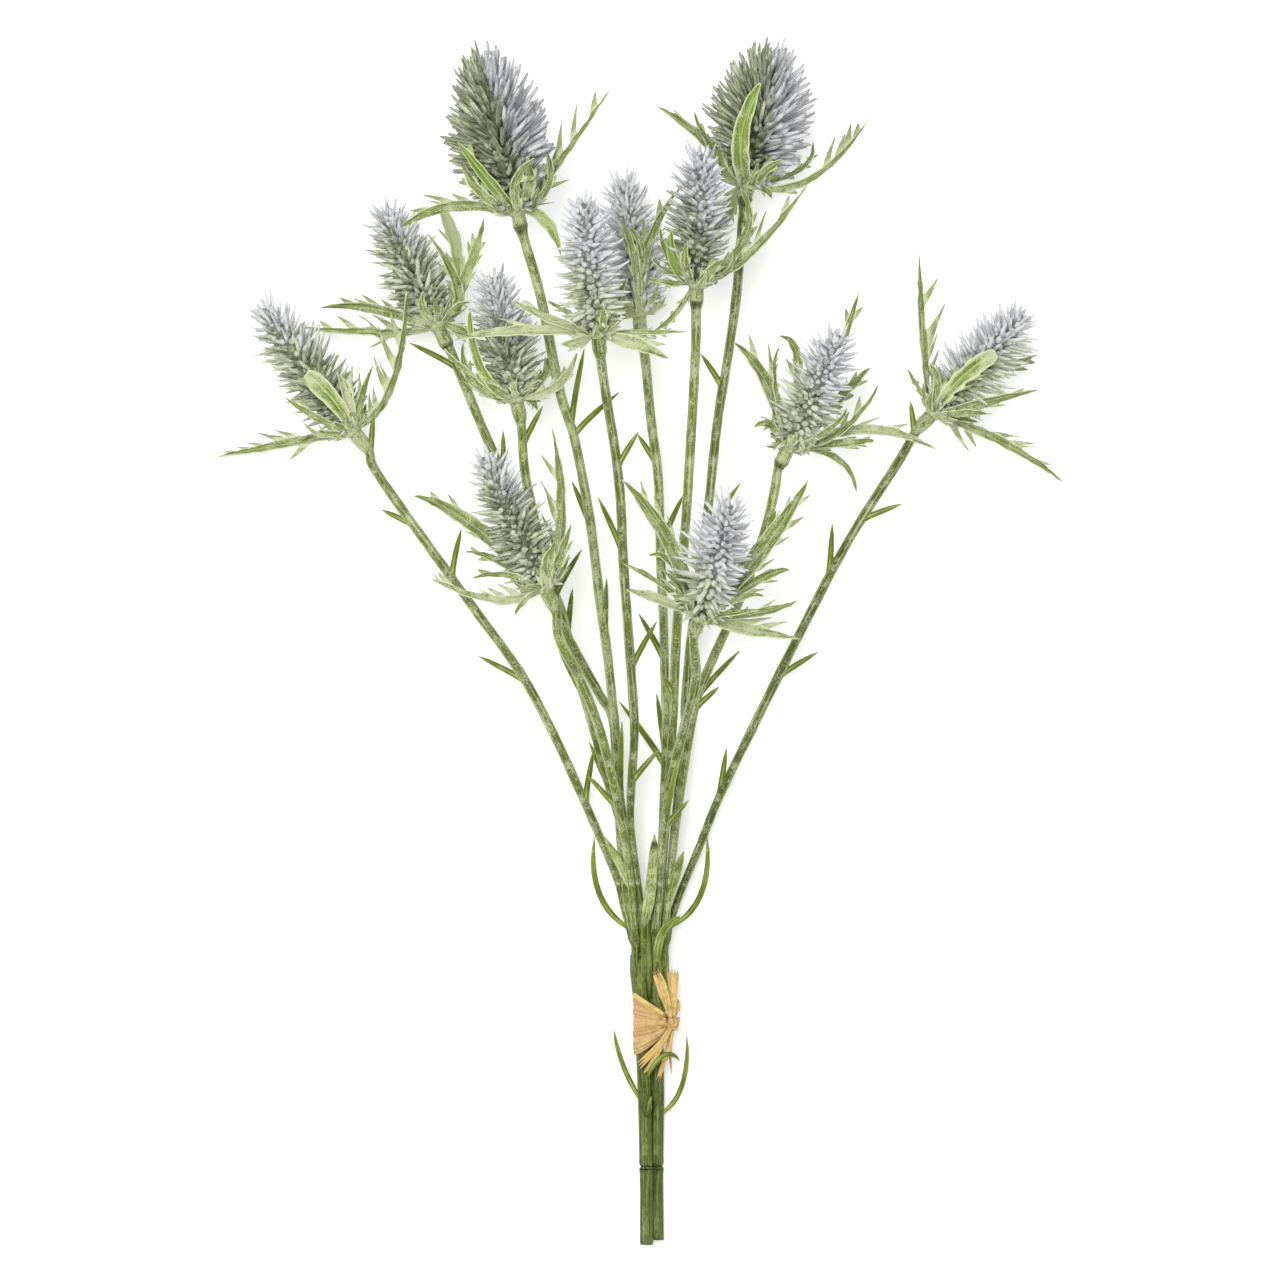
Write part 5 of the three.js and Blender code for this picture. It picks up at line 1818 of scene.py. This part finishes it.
            Bract((42.5, 22, 56), (53.5, 26, 59), 5, teeth=((47, 26), (49.5, 22), (44.5, 19))),
            Bract((37, 16, 58), (44, 16.5, 60), 3.2, teeth=((39, 17.5),)),
            Bract((34.5, 10.5, 59), (42, 11.5, 60), 3.2),
            Bract((43, 10.5, 52), (56.5, 15, 52), 4.7, teeth=((48.5, 15.5),)),
            Bract((37.5, 4.5, 49), (57, 1.5, 46), 6.1, Tone.FROSTED, teeth=((47.5, 9), (53, 7.5), (43, 8))),
        ),
    ),
    Branch(
        number=11, base=(53.5, 70.5, 36), tip=(73, 113, 50), kind=HeadKind.SMALL,
        bloom=0.55, powder=0.3, lean=2,
        stem=(
            (8.75, -110.5, 9.9), (10, -94.5, 11.6), (12.5, -71, 14.6), (16, -46, 18.4), (20, -22.5, 22.5),
            (26, -6.5, 25), (36, 15.5, 28), (44, 37, 31), (48.5, 55, 33.6),
        ),
        leaves=(
            Leaf(37, (49, 47.5, 35)), Leaf(-20.5, (36, -3, 20)), Leaf(-25, (28.5, -16, 27)),
            Leaf(-94.5, (15.8, -75.5, 17), 1.6),
        ),
        bracts=(
            Bract((45.5, 92.5, 36), (33.5, 108, 37), 7.2, teeth=((39, 111), (46, 108))),
            Bract((48, 95, 42), (50, 105.5, 44), 2.5),
            Bract((47, 78.5, 41), (40.5, 77, 41), 4.7, teeth=((43, 81), (44, 76), (46.5, 76.5))),
            Bract((49, 70.5, 39), (45, 70.5, 39), 2.5),
            Bract((57, 100, 27), (50, 110.5, 26), 5, teeth=((55.5, 108), (52.5, 102.5))),
            Bract((68.5, 97.5, 27), (79, 127, 30), 5.4, teeth=((80.5, 121), (74, 120.5))),
            Bract((72.5, 88.5, 30), (83, 99, 30), 4.7),
            Bract((73, 76, 41), (85.5, 92.5, 44), 3.6, teeth=((79, 88.5), (84, 89), (75, 83))),
            Bract((81.5, 76, 36), (106.5, 69.5, 33), 5.8, Tone.FROSTED, teeth=(
                (86.5, 81), (91, 77.5), (96.5, 78.5),
            )),
            Bract((76, 71.5, 37), (84, 72.5, 37), 4),
            Bract((71.5, 65.5, 32), (78, 54, 27), 3.2, teeth=((76.5, 61.5),)),
            Bract((68, 77, 46), (74, 84, 49), 3.2),
        ),
    ),
    Branch(
        number=12, base=(106, 83, 22), tip=(140.5, 120.5, 26), kind=HeadKind.SMALL,
        bloom=0.5, bloom_side=-0.45, powder=0.45, lean=-6, spread=(0.95, 1.3),
        stem=(
            (8.75, -110.5, 4.1), (11, -101.5, 4.4), (15, -90, 5), (22, -73, 6.5), (29, -55.5, 8),
            (45, -22.5, 11), (59.5, 6.5, 14), (75.5, 37, 17), (93.5, 65.5, 19.6),
        ),
        leaves=(
            Leaf(74.5, (97.5, 87, 24)), Leaf(43.5, (94.5, 50, 21)), Leaf(22.5, (69.5, 43, 19)),
            Leaf(-13.5, (64.5, -3.5, 8)), Leaf(-57.5, (31.3, -38.3, 11)),
            Leaf(-103.5, (24.3, -70.5, 10), middle=(22, -91.5, 8)),
        ),
        bracts=(
            Bract((101.5, 112.5, 21), (101, 140.5, 18), 4.7, teeth=(
                (108, 132.5), (110.5, 123), (108, 117), (107.5, 112), (108, 106),
            )),
            Bract((100.5, 92, 24), (96, 99, 25), 2.5),
            Bract((107.5, 94, 28), (103.5, 101, 30), 4),
            Bract((116, 95.5, 34), (128, 104, 37), 6.1, Tone.FRESH, Form.BROAD),
            Bract((124.5, 87, 29), (143.5, 91, 28), 5.4, teeth=((138, 91.5), (132, 85.5))),
            Bract((125.5, 95.5, 10), (144.5, 104.5, 2), 5.4, teeth=((143.5, 101.5), (141, 99))),
            Bract((132, 71.5, 12), (153.5, 58.5, 0.5), 5.4, teeth=(
                (135.5, 75), (138.5, 74.5), (143.5, 72), (144.5, 71), (149.5, 64.5), (119, 68.5),
                (121.5, 70.5),
            )),
            Bract((117.5, 83, 31), (127, 82, 31), 3.2),
            Bract((116.5, 80.5, 22), (122.5, 79.5, 20), 3.2),
        ),
    ),
)

MAIN_STEMS = (
    MainStem(
        side="left",
        route=(
            (2.4, -218.5, 5.7), (2.2, -190, 5.9), (1.7, -165, 6.4), (1.1, -148, 6.5), (0.7, -130, 6.7),
            (0.1, -119, 7), (0, -111, 7),
        ),
        leaves=(
            LongLeaf(-168, (-5.5, -155, 7), (-9.5, -140.5, 7.5)),
            LongLeaf(-159.5, (8.3, -149.5, 15.8), (14.5, -151.5, 11.5)),
        ),
        strips=(
            ((2.4, -172, 7.8), (3.2, -168.5, 8.6), (4, -164.5, 9.0)),
            (
                (3.5, -128.5, 8.3), (3.4, -124, 9), (3.3, -119, 9.9), (3.2, -113, 10.2), (3.1, -107, 10.6),
                (3, -101, 11), (2.8, -96, 11.4),
            ),
        ),
    ),
    MainStem(
        side="right",
        route=(
            (6.3, -217, 2.35), (6.1, -190, 2.7), (6.3, -165, 4.4), (6.1, -148, 6.1), (6.2, -130, 6.8),
            (6.7, -119, 7), (7, -111, 7),
        ),
        leaves=(
            LongLeaf(-172, (15, -161.5, 5), (17, -142.5, 6)),
            LongLeaf(-120, (7.5, -106.5, 17), (14.5, -99, 18), 1.6),
        ),
        strips=(((4.9, -121, 8.6), (4.6, -114, 9.4), (4.6, -107, 9.8), (4.9, -100, 10.3), (5.2, -92, 11)),),
    ),
)

STRAP: Profile = ((0, 0.6), (0.4, 0.8), (0.8, 0.9), (1, 0.75))
BROAD_STRAP: Profile = ((0, 0.6), (0.4, 1.1), (0.8, 1.05), (1, 0.75))
FINGER: Profile = ((0, 0.5), (0.5, 0.8), (0.75, 0.65), (0.9, 0.4), (1, 0.2))
THREAD: Profile = ((0, 0.45), (0.4, 0.6), (0.8, 0.45), (1, 0.1))

RAFFIA = RaffiaTie(
    tails=(
        RaffiaTail("upper_left", (
            Ribbon(((10.9, -136, 9.6), (8, -127.5, 12.3), (5.4, -120.5, 12.8)), BROAD_STRAP, 0.5, 2),
            Ribbon(((11.3, -136, 9.8), (9.5, -127.5, 12.6), (7, -119.8, 13.1)), BROAD_STRAP, 0.8, 3),
        )),
        RaffiaTail("upper_right", (
            Ribbon(((11.7, -135.8, 9.2), (11.1, -127, 10.8), (10.4, -119.6, 11.2)), STRAP, 0.7, 2),
            Ribbon(((12, -135.8, 9.4), (12, -127, 11.1), (11.9, -120, 11.5)), STRAP, 0.95, 3),
            Ribbon(((12.2, -135.8, 9.2), (12.8, -127, 10.9), (13.3, -119.8, 11.2)), STRAP, 0.85, 3),
        )),
        RaffiaTail("lower_left", (
            Ribbon(((10.9, -139.6, 10.2), (6, -146.2, 11.8), (-0.7, -152.2, 10.8)), FINGER, 0.5),
            Ribbon(((11.1, -139.9, 10.6), (6.5, -147, 12), (0.1, -154.3, 10.7)), FINGER, 0.85),
            Ribbon(((11.3, -140.2, 10), (7, -147.8, 11.5), (1.4, -156.1, 10.3)), FINGER, 0.6),
            Ribbon(((9, -143.4, 11.4), (5.2, -148, 12.2), (-0.6, -153.4, 10.9)), THREAD, 0.9),
            Ribbon(((9, -144, 11.1), (6, -150, 11.6), (2.4, -155.6, 10.4)), THREAD, 0.7),
        )),
        RaffiaTail("lower_middle", (
            Ribbon(((11.6, -139.6, 8.6), (9.7, -148.5, 9.9), (7, -157.2, 9.5)), STRAP, 0.6, 3),
            Ribbon(((11.9, -139.6, 8.8), (10.4, -148, 10.2), (8.3, -154, 9.9)), FINGER, 0.9, 2),
        )),
        RaffiaTail("lower_right", (
            Ribbon(((12.3, -139.6, 7.8), (10.9, -147, 7.6), (11.5, -156.6, 7.4)), THREAD, 0.4),
        )),
    ),
)


# The room.

@dataclass(frozen=True)
class Studio:
    """A white table top, a white room round it and a soft light from the upper left."""

    camera_place: Triple = (0.0, 0.0009, 3.03)
    lens: float = 234.375
    sensor: float = 36.0
    room_light: float = 0.8
    key_place: Triple = (-0.35, 0.35, 1.7)
    key_size: float = 0.9
    key_power: float = 20.0
    floor_glow: float = 0.3  # a lit table, which keeps the shadows faint
    floor_size: float = 3.0

    FAR = 20.0  # how far the camera sees
    FIBRE_SCALE = (900.0, 900.0, 900.0)
    FLOOR_COLOURS = ((0.9, 0.9, 0.9), (0.93, 0.93, 0.93))
    WHITE = (1.0, 1.0, 1.0, 1.0)

    def build(self) -> None:
        """Build the floor, the room's light, the key light and the camera."""
        scene = bpy.context.scene
        scene.view_settings.view_transform = "Standard"
        self.build_floor()
        world = bpy.data.worlds.new("white_room")
        world.use_nodes = True
        sky = world.node_tree.nodes["Background"]
        sky.inputs["Color"].default_value = self.WHITE
        sky.inputs["Strength"].default_value = self.room_light
        scene.world = world

        lamp = bpy.data.lights.new("key", "AREA")
        lamp.shape = "DISK"
        lamp.size = self.key_size
        lamp.energy = self.key_power
        key = bpy.data.objects.new("key", lamp)
        key.location = self.key_place
        key.rotation_euler = (-Vector(self.key_place)).to_track_quat("-Z", "Y").to_euler()
        key.visible_camera = False
        bpy.context.collection.objects.link(key)

        eye = bpy.data.cameras.new("camera")
        eye.sensor_width = self.sensor
        eye.lens = self.lens
        eye.clip_end = self.FAR
        camera = bpy.data.objects.new("camera", eye)
        camera.location = self.camera_place
        bpy.context.collection.objects.link(camera)
        scene.camera = camera

    def build_floor(self) -> None:
        """Build the table top."""
        bm = bmesh.new()
        bmesh.ops.create_grid(bm, x_segments=2, y_segments=2, size=self.floor_size / 2)
        mesh = bpy.data.meshes.new("floor")
        bm.to_mesh(mesh)
        bm.free()
        material = bpy.data.materials.new("white_table")
        material.use_nodes = True
        material.node_tree.nodes.clear()
        nodes = Nodes(material.node_tree)
        place = nodes.add("ShaderNodeTexCoord")
        fibre = nodes.noise(place.outputs["Object"], self.FIBRE_SCALE, 3.0)
        shader = nodes.add("ShaderNodeBsdfPrincipled")
        shader.inputs["Roughness"].default_value = 0.9
        shader.inputs["Specular IOR Level"].default_value = 0.2
        nodes.join(nodes.blend(fibre, *self.FLOOR_COLOURS), shader.inputs["Base Color"])
        shader.inputs["Emission Color"].default_value = self.WHITE
        shader.inputs["Emission Strength"].default_value = self.floor_glow
        output = nodes.add("ShaderNodeOutputMaterial")
        nodes.join(shader.outputs["BSDF"], output.inputs["Surface"])
        mesh.materials.append(material)
        floor = bpy.data.objects.new("floor", mesh)
        bpy.context.collection.objects.link(floor)


def main() -> None:
    """Build the bunch and its room, and log how many faces each piece has."""
    logging.basicConfig(level=logging.INFO, format="%(message)s")
    groups = Frosting.build(), Streaks.build()
    finishes = {slot: finish.build(*groups) for slot, finish in FINISHES.items()}
    main_stem_finish = MAIN_STEM_FINISH.build(*groups)
    for branch in BRANCHES:
        branch.build(finishes)
    for stem in MAIN_STEMS:
        stem.build(main_stem_finish)
    RAFFIA.build(finishes[Slot.RAFFIA])
    Studio().build()


if __name__ == "__main__":
    main()
